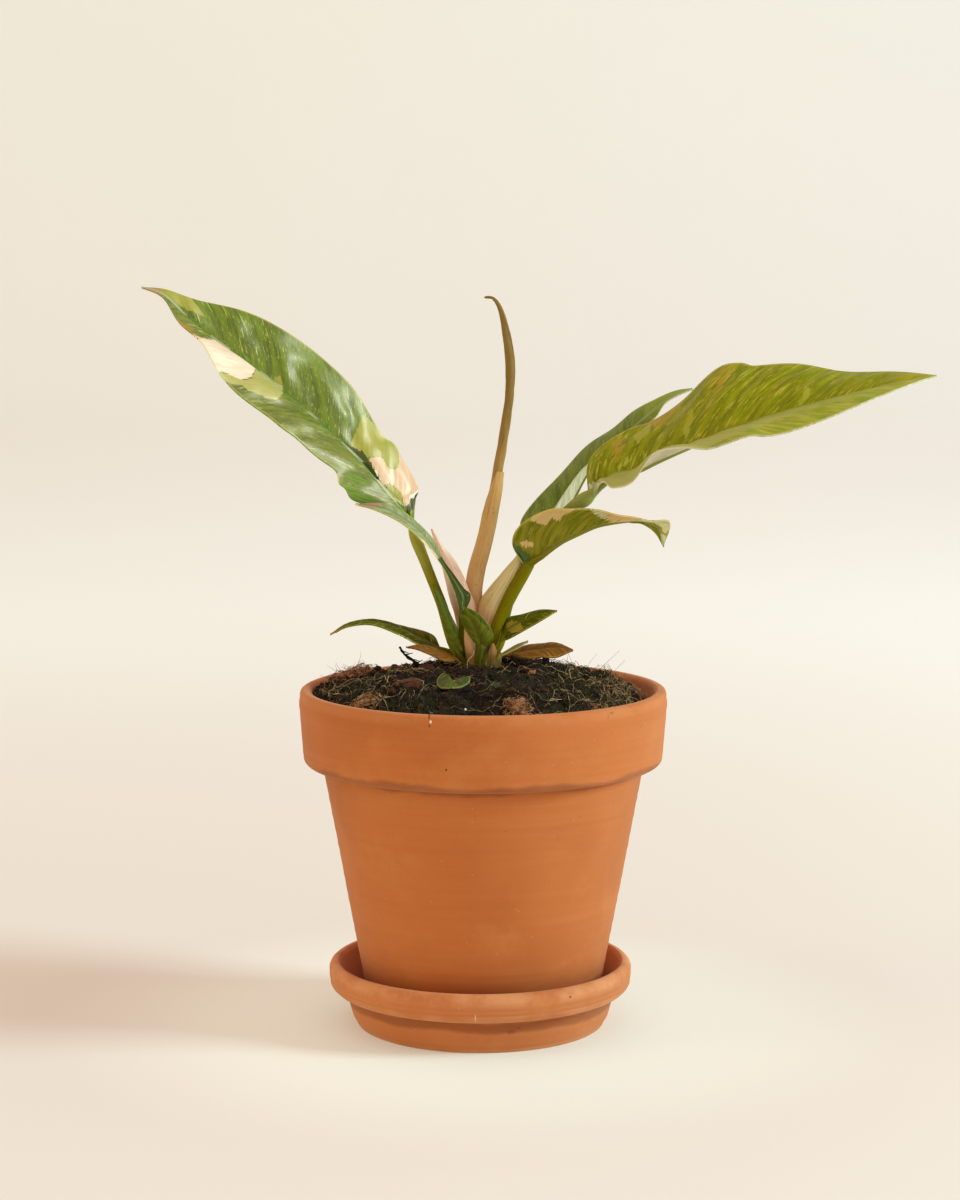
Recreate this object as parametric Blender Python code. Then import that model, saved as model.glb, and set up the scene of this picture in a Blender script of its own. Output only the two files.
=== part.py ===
"""Ring of fire philodendron in a terracotta pot on its saucer, at real size.

Lengths are in millimetres and become metres when a mesh is made. +Z is up, the front of the
plant looks along -Y, and the origin is the centre of the saucer's underside.
"""
import math

import bmesh
import bpy
import numpy as np
from mathutils import Matrix, Vector, noise

MM = 0.001
GAP = 0.3                     # clearance between two pieces that rest on each other
CUT_ROOM = 0.35               # how much fatter a hole is than what stands in it

# Pot
TURN_STEPS = 48               # sides of every turned piece
POT_CENTRE_X = 1.0            # the pot stands a little off the saucer's centre
RIM_RADIUS = 70.0
RIM_TOP = 129.5
RIM_HEIGHT = 28.7
RIM_TAPER = 1.7               # the rim is that much narrower at its lower edge
LIP_ROUND = 3.0               # rounding of the rim's outer and inner edge, and of its lower one
LIP_ROUND_INSIDE = 2.0
RIM_FOOT_ROUND = 3.3
WALL = 5.0
NECK_RADIUS = 60.9
NECK_FILLET = 1.6             # hollow corner under the rim
POT_BASE_RADIUS = 43.8
POT_FOOT_BEVEL = 1.5
POT_FLOOR = 7.5
FLOOR_COVE = 3.0              # the floor curves up into the wall over that height
DRAIN_RADIUS = 5.5

# Saucer
SAUCER_FLOOR = 5.5
SAUCER_RADIUS = 57.9
SAUCER_HEIGHT = 24.4
SAUCER_BAND = 11.8            # height of the thick rolled band
SAUCER_BAND_ROUND = 3.0
SAUCER_LIP = 4.4              # the band stands out that far from its own foot
SAUCER_BASE_RADIUS = 46.6
SAUCER_SPREAD = 3.2           # the lower wall leans out by that much
SAUCER_FILLET = 1.2
SAUCER_WALL = 2.5
SAUCER_COVE = 1.2
EDGE_BREAK = 1.0
POT_BASE_Z = SAUCER_FLOOR + GAP
NECK_Z = RIM_TOP - RIM_HEIGHT

# Soil
SOIL_CROWN_Z = 138.5          # top of the mound, at the stem
SOIL_HOLLOW = 2.0             # the soil dips that much round the stem
HOLLOW_WIDTH = 11.0
SOIL_EDGE_Z = 123.5           # height where the mound meets the pot wall
SOIL_EDGE_TILT = 4.5          # higher at the left wall, lower at the right
SOIL_SHOULDER = 2.6           # a higher power makes the mound flatter on top
SOIL_ROUGHNESS = 1.3
LUMP_SIZE = 9.0
SOIL_ROWS = 12
SOIL_BOTTOM_Z = POT_BASE_Z + POT_FLOOR + GAP
SOIL_TUFTS = ((14.0, -45.0, 5.5, 2.6), (-50.0, 12.0, 8.0, 3.0))     # x, y, spread, height

# Stem and roots
STEM_X, STEM_Y = -0.5, 0.0
STEM_FOOT, STEM_SHOULDER = 116.5, 140.0
STEM_STEPS = 18
ROOT_COUNT = 6
ROOT_TOP_Z = 119.0
ROOT_RADIUS = 1.5
ROOT_REACH = 36.0
ROOT_DEPTH = 78.0
ROOT_STATIONS = 7

# Leaves
BLADE_THICKNESS = 0.75
TIP_HALF_WIDTH = 0.35
SHEATH_THICKNESS = 0.65
RIB_RISE = 0.9                # how far the midrib stands out under a large blade


def clear_scene():
    for item in list(bpy.data.objects):
        bpy.data.objects.remove(item, do_unlink=True)


def material(name, colour, roughness):
    """A plain finish in linear colour."""
    made = bpy.data.materials.get(name) or bpy.data.materials.new(name)
    made.use_nodes = True
    shader = made.node_tree.nodes["Principled BSDF"]
    shader.inputs["Base Color"].default_value = (*colour, 1.0)
    shader.inputs["Roughness"].default_value = roughness
    shader.inputs["Metallic"].default_value = 0.0
    made.diffuse_color = (*colour, 1.0)
    return made


TERRACOTTA = material("terracotta", (0.46, 0.165, 0.05), 0.85)
SAUCER_CLAY = material("saucer_terracotta", (0.49, 0.18, 0.06), 0.85)
SOIL = material("potting_soil", (0.03, 0.017, 0.009), 0.95)
BARK = material("bark", (0.10, 0.04, 0.02), 0.9)
TWIG = material("dark_twig", (0.02, 0.012, 0.01), 0.9)
STEM = material("stem", (0.16, 0.17, 0.05), 0.6)
GREEN = material("leaf_green", (0.09, 0.19, 0.03), 0.4)
DEEP_GREEN = material("deep_green", (0.05, 0.12, 0.02), 0.4)
GREY_GREEN = material("grey_green", (0.25, 0.32, 0.16), 0.45)
PINK = material("pink_sheath", (0.62, 0.32, 0.20), 0.5)
CREAM = material("cream_sheath", (0.60, 0.46, 0.22), 0.5)
OLIVE_BROWN = material("olive_brown", (0.20, 0.10, 0.03), 0.5)
DRY_BROWN = material("dry_brown", (0.28, 0.11, 0.03), 0.8)


def mesh_object(name, points, faces, finish, smooth_angle=40.0):
    """One closed mesh, its points given in millimetres, with its faces turned outwards."""
    mesh = bpy.data.meshes.new(name)
    mesh.from_pydata([tuple(float(c) * MM for c in point) for point in points], [], faces)
    bm = bmesh.new()
    bm.from_mesh(mesh)
    bmesh.ops.remove_doubles(bm, verts=bm.verts, dist=1e-7)
    bmesh.ops.recalc_face_normals(bm, faces=bm.faces)
    bm.to_mesh(mesh)
    bm.free()
    mesh.shade_smooth()
    mesh.set_sharp_from_angle(angle=math.radians(smooth_angle))
    made = bpy.data.objects.new(name, mesh)
    made.data.materials.append(finish)
    bpy.context.scene.collection.objects.link(made)
    return made


def cutter(made):
    """Marks an object as a tool that only cuts others."""
    made.hide_render = True
    made.display_type = "WIRE"
    return made


def boolean(target, operation, tool=None, tools=None):
    """Adds an exact Boolean with one object or with a collection."""
    change = target.modifiers.new(operation.lower(), "BOOLEAN")
    change.operation = operation
    change.solver = "EXACT"
    if tools is None:
        change.object = tool
    else:
        change.operand_type = "COLLECTION"
        change.collection = tools
    return change


def applied(made):
    """Replaces an object's mesh by what its modifiers make of it."""
    bpy.context.view_layer.update()
    seen = made.evaluated_get(bpy.context.evaluated_depsgraph_get())
    mesh = bpy.data.meshes.new_from_object(seen)
    made.modifiers.clear()
    made.data = mesh
    return made


def group(name, members):
    """A collection that holds the tools of one Boolean."""
    made = bpy.data.collections.new(name)
    bpy.context.scene.collection.children.link(made)
    for member in members:
        bpy.context.scene.collection.objects.unlink(member)
        made.objects.link(member)
    return made


# Shape helpers
def smooth_line(stations, count):
    """Reads count points from a smooth curve through the given stations."""
    knots = np.asarray(stations, float)
    slopes = np.gradient(knots, axis=0)
    at = np.linspace(0, len(knots) - 1, count)
    first = np.minimum(at.astype(int), len(knots) - 2)
    t = (at - first)[:, None]
    a, b = knots[first], knots[first + 1]
    m, n = slopes[first], slopes[first + 1]
    return ((2 * t**3 - 3 * t**2 + 1) * a + (t**3 - 2 * t**2 + t) * m
            + (3 * t**2 - 2 * t**3) * b + (t**3 - t**2) * n)


def unit(vectors):
    return vectors / np.maximum(np.linalg.norm(vectors, axis=-1, keepdims=True), 1e-9)


def loft(rings):
    """Faces between rings of equal length, closed at each end by a strip across the ring.

    The second half of each ring is split the other way, so a blade's two sides match.
    """
    count, sides = len(rings), len(rings[0])
    points = [point for ring in rings for point in ring]
    faces = []
    for i in range(count - 1):
        for j in range(sides):
            k = (j + 1) % sides
            a, b = i * sides + j, i * sides + k
            if 2 * j < sides:
                faces += [(a, b, b + sides), (a, b + sides, a + sides)]
            else:
                faces += [(a, b, a + sides), (b, b + sides, a + sides)]
    for start in (0, (count - 1) * sides):
        for j in range(sides // 2 - 1):
            a, b, c, d = (start + k for k in (j, j + 1, sides - 2 - j, sides - 1 - j))
            faces += [(a, b, d), (b, c, d)]
    return points, faces


def frames_along(path, hint):
    """Side and upward directions square to a path, both turning as little as they can."""
    along = unit(np.gradient(path, axis=0))
    side = np.zeros_like(path)
    last = np.asarray(hint, float)
    for i, heading in enumerate(along):
        last = last - heading * np.dot(last, heading)
        last = last / np.linalg.norm(last)
        side[i] = last
    return along, side, np.cross(along, side)


def tube_rings(path, widths, heights, hint, sides):
    """Oval rings along a path; hint is roughly the sideways direction."""
    _, side, up = frames_along(path, hint)
    turn = math.pi - (np.arange(sides) + 0.5) * 2 * math.pi / sides
    return [path[i] + np.outer(np.cos(turn), side[i]) * widths[i]
            + np.outer(np.sin(turn), up[i]) * heights[i] for i in range(len(path))]


def turned(name, outline, centre_x, finish, steps=TURN_STEPS):
    """Spins an outline of (radius, height) about a vertical axis at centre_x."""
    bm = bmesh.new()
    row = [bm.verts.new(((centre_x + r) * MM, 0, z * MM)) for r, z in outline]
    pairs = list(zip(row, row[1:]))
    if outline[0][0] > 0:
        pairs.append((row[-1], row[0]))
    edges = [bm.edges.new(pair) for pair in pairs]
    bmesh.ops.spin(bm, geom=row + edges, cent=(centre_x * MM, 0, 0), axis=(0, 0, 1),
                   angle=2 * math.pi, steps=steps, use_merge=True)
    bmesh.ops.remove_doubles(bm, verts=bm.verts, dist=1e-7)
    bmesh.ops.recalc_face_normals(bm, faces=bm.faces)
    mesh = bpy.data.meshes.new(name)
    bm.to_mesh(mesh)
    bm.free()
    mesh.shade_smooth()
    mesh.set_sharp_from_angle(angle=math.radians(35))
    made = bpy.data.objects.new(name, mesh)
    made.data.materials.append(finish)
    bpy.context.scene.collection.objects.link(made)
    return made


def arc(centre, radius, start, end, count):
    """Points on an arc of an outline, in degrees from the outward direction."""
    return [(centre[0] + radius * math.cos(math.radians(a)), centre[1] + radius * math.sin(math.radians(a)))
            for a in np.linspace(start, end, count)]


# Pot and saucer
def pot_inside(z):
    """Inner radius of the pot at a height."""
    low, high = POT_BASE_Z + POT_FLOOR, RIM_TOP
    share = (z - low) / (high - low)
    return (POT_BASE_RADIUS - WALL) + share * (RIM_RADIUS - WALL - (POT_BASE_RADIUS - WALL))


def make_pot():
    """A tapered pot with a thick rim and a drainage hole in its floor."""
    rim_foot_x = RIM_RADIUS - RIM_TAPER - RIM_FOOT_ROUND
    floor_z = POT_BASE_Z + POT_FLOOR
    outline = [(DRAIN_RADIUS, POT_BASE_Z), (POT_BASE_RADIUS - POT_FOOT_BEVEL, POT_BASE_Z)]
    outline.append((POT_BASE_RADIUS, POT_BASE_Z + POT_FOOT_BEVEL))
    outline += arc((NECK_RADIUS + NECK_FILLET, NECK_Z - NECK_FILLET), NECK_FILLET, 180, 90, 3)
    outline += arc((rim_foot_x, NECK_Z + RIM_FOOT_ROUND), RIM_FOOT_ROUND, -90, 0, 4)
    outline += arc((RIM_RADIUS - LIP_ROUND, RIM_TOP - LIP_ROUND), LIP_ROUND, 0, 90, 4)
    outline += arc((pot_inside(RIM_TOP) + LIP_ROUND_INSIDE, RIM_TOP - LIP_ROUND_INSIDE),
                   LIP_ROUND_INSIDE, 90, 180, 3)
    outline += [(pot_inside(NECK_Z), NECK_Z), (pot_inside(floor_z + FLOOR_COVE), floor_z + FLOOR_COVE)]
    outline += [(pot_inside(floor_z) - FLOOR_COVE, floor_z), (DRAIN_RADIUS, floor_z)]
    return turned("pot", outline, POT_CENTRE_X, TERRACOTTA)


def make_saucer():
    """A shallow dish with a thick band round its mouth."""
    band_z = SAUCER_HEIGHT - SAUCER_BAND
    waist = SAUCER_BASE_RADIUS + SAUCER_SPREAD
    inside = SAUCER_BASE_RADIUS - SAUCER_WALL
    outline = [(0, 0), (SAUCER_BASE_RADIUS - EDGE_BREAK, 0), (SAUCER_BASE_RADIUS, EDGE_BREAK)]
    outline += arc((waist + SAUCER_FILLET, band_z - SAUCER_FILLET), SAUCER_FILLET, 180, 90, 3)
    outline += arc((SAUCER_RADIUS - SAUCER_LIP, band_z + SAUCER_BAND_ROUND), SAUCER_BAND_ROUND, -90, -15, 4)
    outline += arc((SAUCER_RADIUS - SAUCER_BAND_ROUND, SAUCER_HEIGHT - SAUCER_BAND_ROUND),
                   SAUCER_BAND_ROUND, 0, 105, 6)
    outline += [(waist - SAUCER_WALL, band_z), (inside + SAUCER_COVE, SAUCER_FLOOR + SAUCER_COVE)]
    outline += [(inside, SAUCER_FLOOR), (0, SAUCER_FLOOR)]
    return turned("saucer", outline, 0.0, SAUCER_CLAY)


# Soil
def soil_height(x, y):
    """Height of the mound, with its lumps and the two raised tufts of fibre."""
    dx = x - POT_CENTRE_X
    reach = min(1.0, math.hypot(dx, y) / pot_inside(SOIL_EDGE_Z))
    edge = SOIL_EDGE_Z - SOIL_EDGE_TILT * dx / RIM_RADIUS
    mound = edge + (SOIL_CROWN_Z - edge) * (1 - reach**SOIL_SHOULDER)
    place = Vector((x, y, 0)) / LUMP_SIZE
    lumps = noise.noise(place) + 0.5 * noise.noise(place * 2)
    tufts = sum(high * math.exp(-((x - tx)**2 + (y - ty)**2) / (2 * wide**2))
                for tx, ty, wide, high in SOIL_TUFTS)
    hollow = SOIL_HOLLOW * math.exp(-((x - STEM_X)**2 + (y - STEM_Y)**2) / HOLLOW_WIDTH**2)
    return mound + SOIL_ROUGHNESS * lumps * (1 - hollow / SOIL_HOLLOW * 0.6) + tufts - hollow


def make_soil():
    """A filling that follows the pot's inside, with a lumpy top."""
    clearance = 1.4 * GAP         # leaves a full GAP at the middle of each flat side
    mouth = pot_inside(SOIL_EDGE_Z) - clearance
    turns = 2 * math.pi * np.arange(TURN_STEPS) / TURN_STEPS
    outward = np.stack([np.cos(turns), np.sin(turns)], axis=1)
    rings = []
    for z, inset in ((SOIL_BOTTOM_Z, FLOOR_COVE + 1.0), (SOIL_BOTTOM_Z + FLOOR_COVE, 2 * clearance)):
        flat = outward * (pot_inside(z) - inset)
        rings.append(np.column_stack([flat[:, 0] + POT_CENTRE_X, flat[:, 1], np.full(TURN_STEPS, z)]))
    for share in np.linspace(1, 1 / SOIL_ROWS, SOIL_ROWS):
        ring = []
        for across, away in outward:
            z = soil_height(POT_CENTRE_X + mouth * across, mouth * away)
            radius = (pot_inside(z) - clearance) * share
            x, y = POT_CENTRE_X + radius * across, radius * away
            ring.append((x, y, z if share == 1 else soil_height(x, y)))
        rings.append(np.array(ring))
    points, faces = loft(rings)
    return mesh_object("soil", points, faces, SOIL)


# Stem with its roots
STEM_OUTLINE = ((0, 112), (4.5, 112.6), (6.6, 116), (7.4, 123), (7.8, 131), (7.9, 136.5), (7.2, 139.5),
                (6.0, 142.5), (4.2, 145.3), (2.2, 147), (0, 147.6))


def stem_body(name, grow):
    """The short stem, ringed by old leaf scars; grow makes the hole's tool."""
    outline = [(r + (grow if r else 0), z + grow * (1 if z > STEM_SHOULDER else -1 if z < STEM_FOOT else 0))
               for r, z in STEM_OUTLINE]
    made = turned(name, outline, 0.0, STEM, steps=STEM_STEPS)
    made.data.transform(Matrix.Translation((STEM_X * MM, STEM_Y * MM, 0)))
    return made


def root(index, grow):
    """One thick root that leaves the stem sideways and bends down."""
    turn = 2 * math.pi * (index + 0.35 * math.sin(3.1 * index)) / ROOT_COUNT
    out = np.array((math.cos(turn), math.sin(turn), 0.0))
    reach = ROOT_REACH * (0.75 + 0.25 * math.sin(2.3 * index + 1))
    depth = ROOT_DEPTH * (0.8 + 0.2 * math.cos(1.7 * index))
    start = np.array((STEM_X, STEM_Y, ROOT_TOP_Z))
    shares = ((0.04, 0.0), (0.25, 0.05), (0.6, 0.25), (0.9, 0.6), (1.0, 1.0))
    stations = [start + out * reach * across - (0, 0, depth * down) for across, down in shares]
    path = smooth_line(stations, ROOT_STATIONS)
    radii = np.linspace(ROOT_RADIUS, 0.5 * ROOT_RADIUS, ROOT_STATIONS) + grow
    if grow:
        path[-1] += (0, 0, -grow)
    points, faces = loft(tube_rings(path, radii, radii, (0, 0, 1), 6))
    return mesh_object(f"root_{index}_{grow}", points, faces, STEM)


def make_stem():
    made = stem_body("stem", 0.0)
    roots = group("root_tools", [cutter(root(i, 0.0)) for i in range(ROOT_COUNT)])
    boolean(made, "UNION", tools=roots)
    applied(made)
    for item in list(roots.objects):
        bpy.data.objects.remove(item, do_unlink=True)
    bpy.data.collections.remove(roots)
    return made


# Leaves
COLUMNS = (-1.0, -0.74, -0.44, -0.13, 0.0, 0.13, 0.44, 0.74, 1.0)
FOLDED_COLUMNS = (-1.0, -0.6, -0.15, 0.0, 0.15, 0.6, 1.0)
SMALL_COLUMNS = (-1.0, -0.5, 0.0, 0.5, 1.0)


def half_blade(rib, margin, along, is_left, belly, wave):
    """A function giving the points of one half of a blade, from its rib (0) to its margin (1)."""
    reach = margin - rib
    wide = np.linalg.norm(reach, axis=1, keepdims=True)
    face = unit(np.cross(along, reach) if is_left else np.cross(reach, along))
    share = np.linspace(0, 1, len(rib))[:, None]
    height, count, phase = wave
    lift = height * np.sin(2 * math.pi * (count * share + phase)) * np.sin(math.pi * share)

    def at(u):
        return rib + reach * u + face * (belly * wide * math.sin(math.pi * u) + lift * u * u)
    return at


def to_the_tip(margin, rib, stations):
    """A margin that runs out in the midrib's last point, and its smooth curve."""
    line = smooth_line([*margin, rib[-1]], stations)
    last = unit(line[-2] - smooth_line(rib, stations)[-2]) * TIP_HALF_WIDTH
    line[-1] += last
    return line


def leaf(name, finish, rib, left, right, petiole, stations, petiole_stations, belly=0.07,
         wave=(0.0, 3, 0.0), keel=RIB_RISE, columns=COLUMNS):
    """A blade with a raised midrib below, grown in one piece with its petiole.

    rib, left and right are lists of points: the midrib to its tip, and the two margins short
    of it, as seen from the base, upper side up. petiole lists points with a radius, from its
    foot to the blade. wave is (height, number of waves, phase) along the margins.
    """
    left, right = (to_the_tip(margin, rib, stations) for margin in (left, right))
    rib = smooth_line(rib, stations)
    along = unit(np.gradient(rib, axis=0))
    height, count, phase = wave
    one = half_blade(rib, left, along, True, belly, (height, count, phase))
    other = half_blade(rib, right, along, False, belly, (height, count, phase + 0.35))
    grid = np.stack([one(-u) if u < 0 else other(u) for u in columns], axis=1)
    face = unit(np.cross(np.gradient(grid, axis=1), np.gradient(grid, axis=0)))
    face[-1] = face[-2]
    share = np.linspace(0, 1, stations)
    rib_profile = np.maximum(0.0, 1 - np.abs(np.array(columns)) / 0.2)
    under = np.outer(keel * (1 - share), rib_profile)
    top = grid + face * BLADE_THICKNESS / 2
    bottom = grid - face * (BLADE_THICKNESS / 2 + under)[..., None]
    rings = [np.concatenate([top[i], bottom[i][::-1]]) for i in range(stations)]
    stalk = smooth_line(petiole, petiole_stations + 1)[:-1]
    path = np.concatenate([stalk[:, :3], rib[:2]])[::-1]
    radii = np.concatenate([stalk[:, 3], [stalk[-1, 3]] * 2])[::-1]
    ovals = tube_rings(path, radii, radii, right[0] - left[0], 2 * len(columns))
    points, faces = loft(ovals[::-1][:petiole_stations] + rings)
    return mesh_object(name, points, faces, finish)


def sheath(name, finish, axis, open_side, stations=14, sides=7):
    """A scale leaf that wraps part of a circle round an axis, open towards open_side.

    Each point of axis is (x, y, z, radius, half angle of the wrap in degrees).
    """
    line = smooth_line(axis, stations)
    along = unit(np.gradient(line[:, :3], axis=0))
    rings = []
    for (x, y, z, radius, wrap), heading in zip(line, along):
        opening = np.asarray(open_side, float)
        opening = unit(opening - heading * np.dot(opening, heading))
        side = np.cross(heading, opening)
        turn = np.radians(np.linspace(-wrap, wrap, sides))
        spokes = np.outer(np.sin(turn), side) - np.outer(np.cos(turn), opening)
        centre = np.array((x, y, z))
        outer = centre + spokes * radius
        inner = centre + spokes * max(radius - SHEATH_THICKNESS, 0.15 * radius)
        rings.append(np.concatenate([outer, inner[::-1]]))
    points, faces = loft(rings)
    return mesh_object(name, points, faces, finish)


def make_leaf_left():
    return leaf(
        "leaf_left", GREEN,
        rib=[(-25.5, -6, 192.5), (-29.5, -8, 198.5), (-34, -10, 204), (-39, -11, 210), (-44, -13, 216),
             (-49.5, -14, 221.5), (-62.5, -17, 234), (-73.5, -19, 243.5), (-85.5, -21, 253.5),
             (-97.5, -23, 262), (-110, -25, 272.5), (-117.5, -26.5, 277.5), (-123.5, -27, 281)],
        left=[(-28, -8, 192.5), (-35.5, -12, 197.5), (-42.5, -15, 201), (-48.5, -20, 204), (-51, -24, 209),
              (-54, -27, 215), (-63.5, -31, 223), (-72.5, -33, 230), (-82.5, -35, 239.5), (-93.5, -36, 249),
              (-104, -34.5, 262), (-112.5, -30, 273)],
        right=[(-25.5, -4, 195), (-24.5, -1, 202), (-24, 0, 206), (-29, -1, 215), (-32, -1.5, 222),
               (-38.5, -3, 227), (-48, -6, 243.5), (-59.5, -9, 255.5), (-72.5, -12, 264.5), (-87.5, -15, 272),
               (-104.5, -20, 276.5), (-115, -25, 280)],
        petiole=[(-2.5, -0.5, 138, 2.4), (-6.6, -1, 141, 2.5), (-10.5, -2, 147.5, 2.4), (-14.5, -3, 161, 2.1),
                 (-17.5, -4, 169, 2.0), (-21, -5, 178.5, 1.9), (-25.5, -6, 192.5, 1.6)],
        stations=28, petiole_stations=9, wave=(0.9, 4, 0.1))


def make_leaf_strip():
    return leaf(
        "leaf_strip", GREY_GREEN,
        rib=[(-4, -3, 158.5), (-7, -5, 166.5), (-12.5, -8.5, 178), (-19, -12, 186.8), (-26.5, -16.5, 194),
             (-35.5, -21, 199.5), (-46, -25, 201.5)],
        left=[(-5.3, -4.4, 158.7), (-8, -9, 164.7), (-13.5, -13, 177), (-20.5, -17, 185.8), (-28.5, -21, 193),
              (-37.5, -24, 198.2)],
        right=[(-3, -2.2, 159.3), (-4, -2, 166), (-9.5, -4, 176), (-17, -8, 184.8), (-25, -13, 194),
               (-34.5, -18, 201)],
        petiole=[(-2, -2, 144, 1.3), (-2.8, -2.3, 150, 1.3), (-3.4, -2.6, 155, 1.2), (-4, -3, 158.5, 1.1)],
        stations=16, petiole_stations=5, keel=0.3, columns=SMALL_COLUMNS)


def make_leaf_right():
    return leaf(
        "leaf_right", GREEN,
        rib=[(42.5, 6, 203), (45.5, 4, 207), (50.5, 1.5, 210.5), (59, -1, 212.5), (66, -3.5, 216),
             (74.5, -6, 220), (83.5, -8, 224), (90.5, -10, 227), (98, -11, 229.5), (106, -12.5, 232.5),
             (119, -15, 236.5), (135, -17.5, 241), (152.5, -19.5, 245.5), (168, -20, 248.5)],
        left=[(41, 8, 204), (41, 10, 214), (46, 12, 220.5), (56, 14, 226), (64.5, 14, 229.5), (76, 14, 237.5),
              (85.5, 13, 245.5), (92.5, 11.5, 251), (98, 10, 252.5), (105.5, 8, 251), (120.5, 4, 251.5),
              (136.5, -2, 249.5), (154, -11, 249.5)],
        right=[(43.5, 3, 203), (45.5, -8, 208.5), (49.5, -15, 206.5), (56, -20, 209.5), (63.5, -21, 220),
               (72.5, -24, 221.5), (82, -28, 222), (89.5, -31, 225), (97.5, -33, 226.5), (105.5, -34.5, 227),
               (118.5, -35.5, 231.5), (134.5, -34, 237), (153, -29, 244)],
        petiole=[(3.5, 2.8, 139, 2.0), (6.3, 4.9, 144, 2.0), (8.8, 7.2, 153, 1.9), (12, 9.5, 164, 1.8),
                 (17.5, 11, 177, 1.7), (26, 11, 189.5, 1.6), (34.5, 9, 198, 1.7), (38.5, 7.5, 200.8, 2.7),
                 (42.5, 6, 203, 2.0)],
        stations=32, petiole_stations=12, wave=(0.9, 4, 0.3))


def make_leaf_back():
    return leaf(
        "leaf_back", DEEP_GREEN,
        rib=[(22, 20, 187.5), (28, 22.5, 191.5), (34, 25, 196.5), (41, 26, 209), (48.5, 25.5, 217.5),
             (56.5, 25, 224.5), (64, 23.5, 231.5), (70, 22, 236.5), (76, 20.5, 240.5), (81, 19.5, 242)],
        left=[(20.5, 23, 187), (15.5, 28, 189), (21, 33, 197.5), (32, 36, 209), (42, 36, 219.5),
              (51.5, 34, 226.5), (60, 31, 233), (68.5, 26, 238), (75, 21, 241)],
        right=[(23, 18, 187), (25, 15, 190.5), (29, 15.5, 197.5), (39, 18.5, 210.5), (47.5, 20.5, 217.5),
               (56.5, 20.5, 223.5), (65.5, 20, 230), (70.5, 19.5, 236), (76, 19, 240)],
        petiole=[(2, 6, 139.5, 1.8), (4.1, 10.2, 144.6, 1.8), (6.8, 13.4, 151.5, 1.8), (11, 15.5, 161.5, 1.8),
                 (15, 17, 172.5, 1.7), (18.5, 19, 181, 1.6), (22, 20, 187.5, 1.4)],
        stations=23, petiole_stations=8, wave=(0.7, 4, 0.6), columns=FOLDED_COLUMNS)


def make_leaf_curl():
    return leaf(
        "leaf_curl", GREEN,
        rib=[(18.5, -2, 177), (21, -3, 179.5), (25.5, -5, 183), (30.5, -8, 186.5), (36.5, -11, 189.5),
             (43, -14, 192.5), (49, -17, 194), (55.5, -20, 195), (61, -22, 195), (65.5, -23, 193),
             (67.5, -23, 186)],
        left=[(19.3, 0, 177), (17, 4, 181), (19.5, 6, 186.5), (27.5, 5, 193.5), (36, 2, 195), (44.5, -3, 195.3),
              (51, -9, 194.7), (56, -16, 194.3), (60, -20.5, 193.8), (64.5, -21.6, 191)],
        right=[(17.6, -4, 177.5), (12, -9, 186), (15.5, -13, 193), (26, -18, 199), (34, -22, 199.5),
               (43.5, -24, 199), (50, -25, 198), (56, -25, 196.5), (61, -25, 195.5), (67.5, -25.5, 194.3)],
        petiole=[(2, -0.5, 137, 2.3), (5, 0, 145, 2.3), (8, 0, 154, 2.3), (10.5, 0, 160, 2.3),
                 (15, -1, 170.5, 2.3), (18.5, -2, 177, 2.0)],
        stations=27, petiole_stations=7, wave=(0.4, 4, 0.0), keel=0.6, columns=FOLDED_COLUMNS)


def make_leaf_front():
    return leaf(
        "leaf_front", DEEP_GREEN,
        rib=[(1.2, -8.6, 146), (-0.1, -10, 150), (-2, -11.5, 154.5), (-4, -12.5, 158.5), (-5.8, -12.5, 162)],
        left=[(-0.7, -8.6, 146), (-3.5, -9.5, 150), (-6.5, -10.5, 154.5), (-7.8, -12, 158.5)],
        right=[(3, -8.4, 146.3), (4.8, -9, 150), (3, -10.5, 155), (-0.5, -12, 159.5)],
        petiole=[(1.6, -4.4, 137, 2.0), (1.7, -6.8, 141, 2.0), (1.2, -8.6, 146, 1.7)],
        stations=10, petiole_stations=4, belly=0.12, keel=0.3, columns=SMALL_COLUMNS)


def make_leaf_dark():
    return leaf(
        "leaf_dark", DEEP_GREEN,
        rib=[(-7.4, -7.8, 144.5), (-9.3, -9, 149.5), (-12, -9.5, 157), (-15, -9.5, 164), (-18, -9.5, 170)],
        left=[(-8.6, -7.6, 144.5), (-11.2, -9, 149.5), (-14, -9.7, 158), (-16.4, -9.7, 164)],
        right=[(-6, -7.6, 145), (-6.9, -7.4, 149.5), (-9.5, -7.5, 157), (-13, -8.5, 164)],
        petiole=[(-3, -3.5, 137, 1.2), (-4.9, -6.1, 141, 1.2), (-7.4, -7.8, 144.5, 1.1)],
        stations=11, petiole_stations=4, belly=0.1, keel=0.4, columns=SMALL_COLUMNS)


def make_leaf_low_left():
    return leaf(
        "leaf_low_left", GREEN,
        rib=[(-13, 5.3, 143.5), (-18, 4.5, 146), (-23, 2.5, 148.5), (-30.5, 0, 152), (-41, -3, 155),
             (-50, -6, 154), (-56.5, -8, 150)],
        left=[(-13.5, 3.8, 143), (-19, -1.5, 145.5), (-25, -4.5, 147), (-31, -6, 150), (-41, -7, 154),
              (-50, -7.5, 153.7)],
        right=[(-13.5, 6.8, 144), (-18.5, 9, 146.5), (-23, 8, 149.7), (-30.5, 5, 152), (-40.5, 0.5, 155.3),
               (-50, -4.7, 154.6)],
        petiole=[(-3.8, 5.7, 138.8, 1.1), (-8.3, 7.4, 141.4, 1.1), (-13, 5.8, 143.5, 1.1)],
        stations=16, petiole_stations=4, belly=0.1, keel=0.35, columns=SMALL_COLUMNS)


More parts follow.
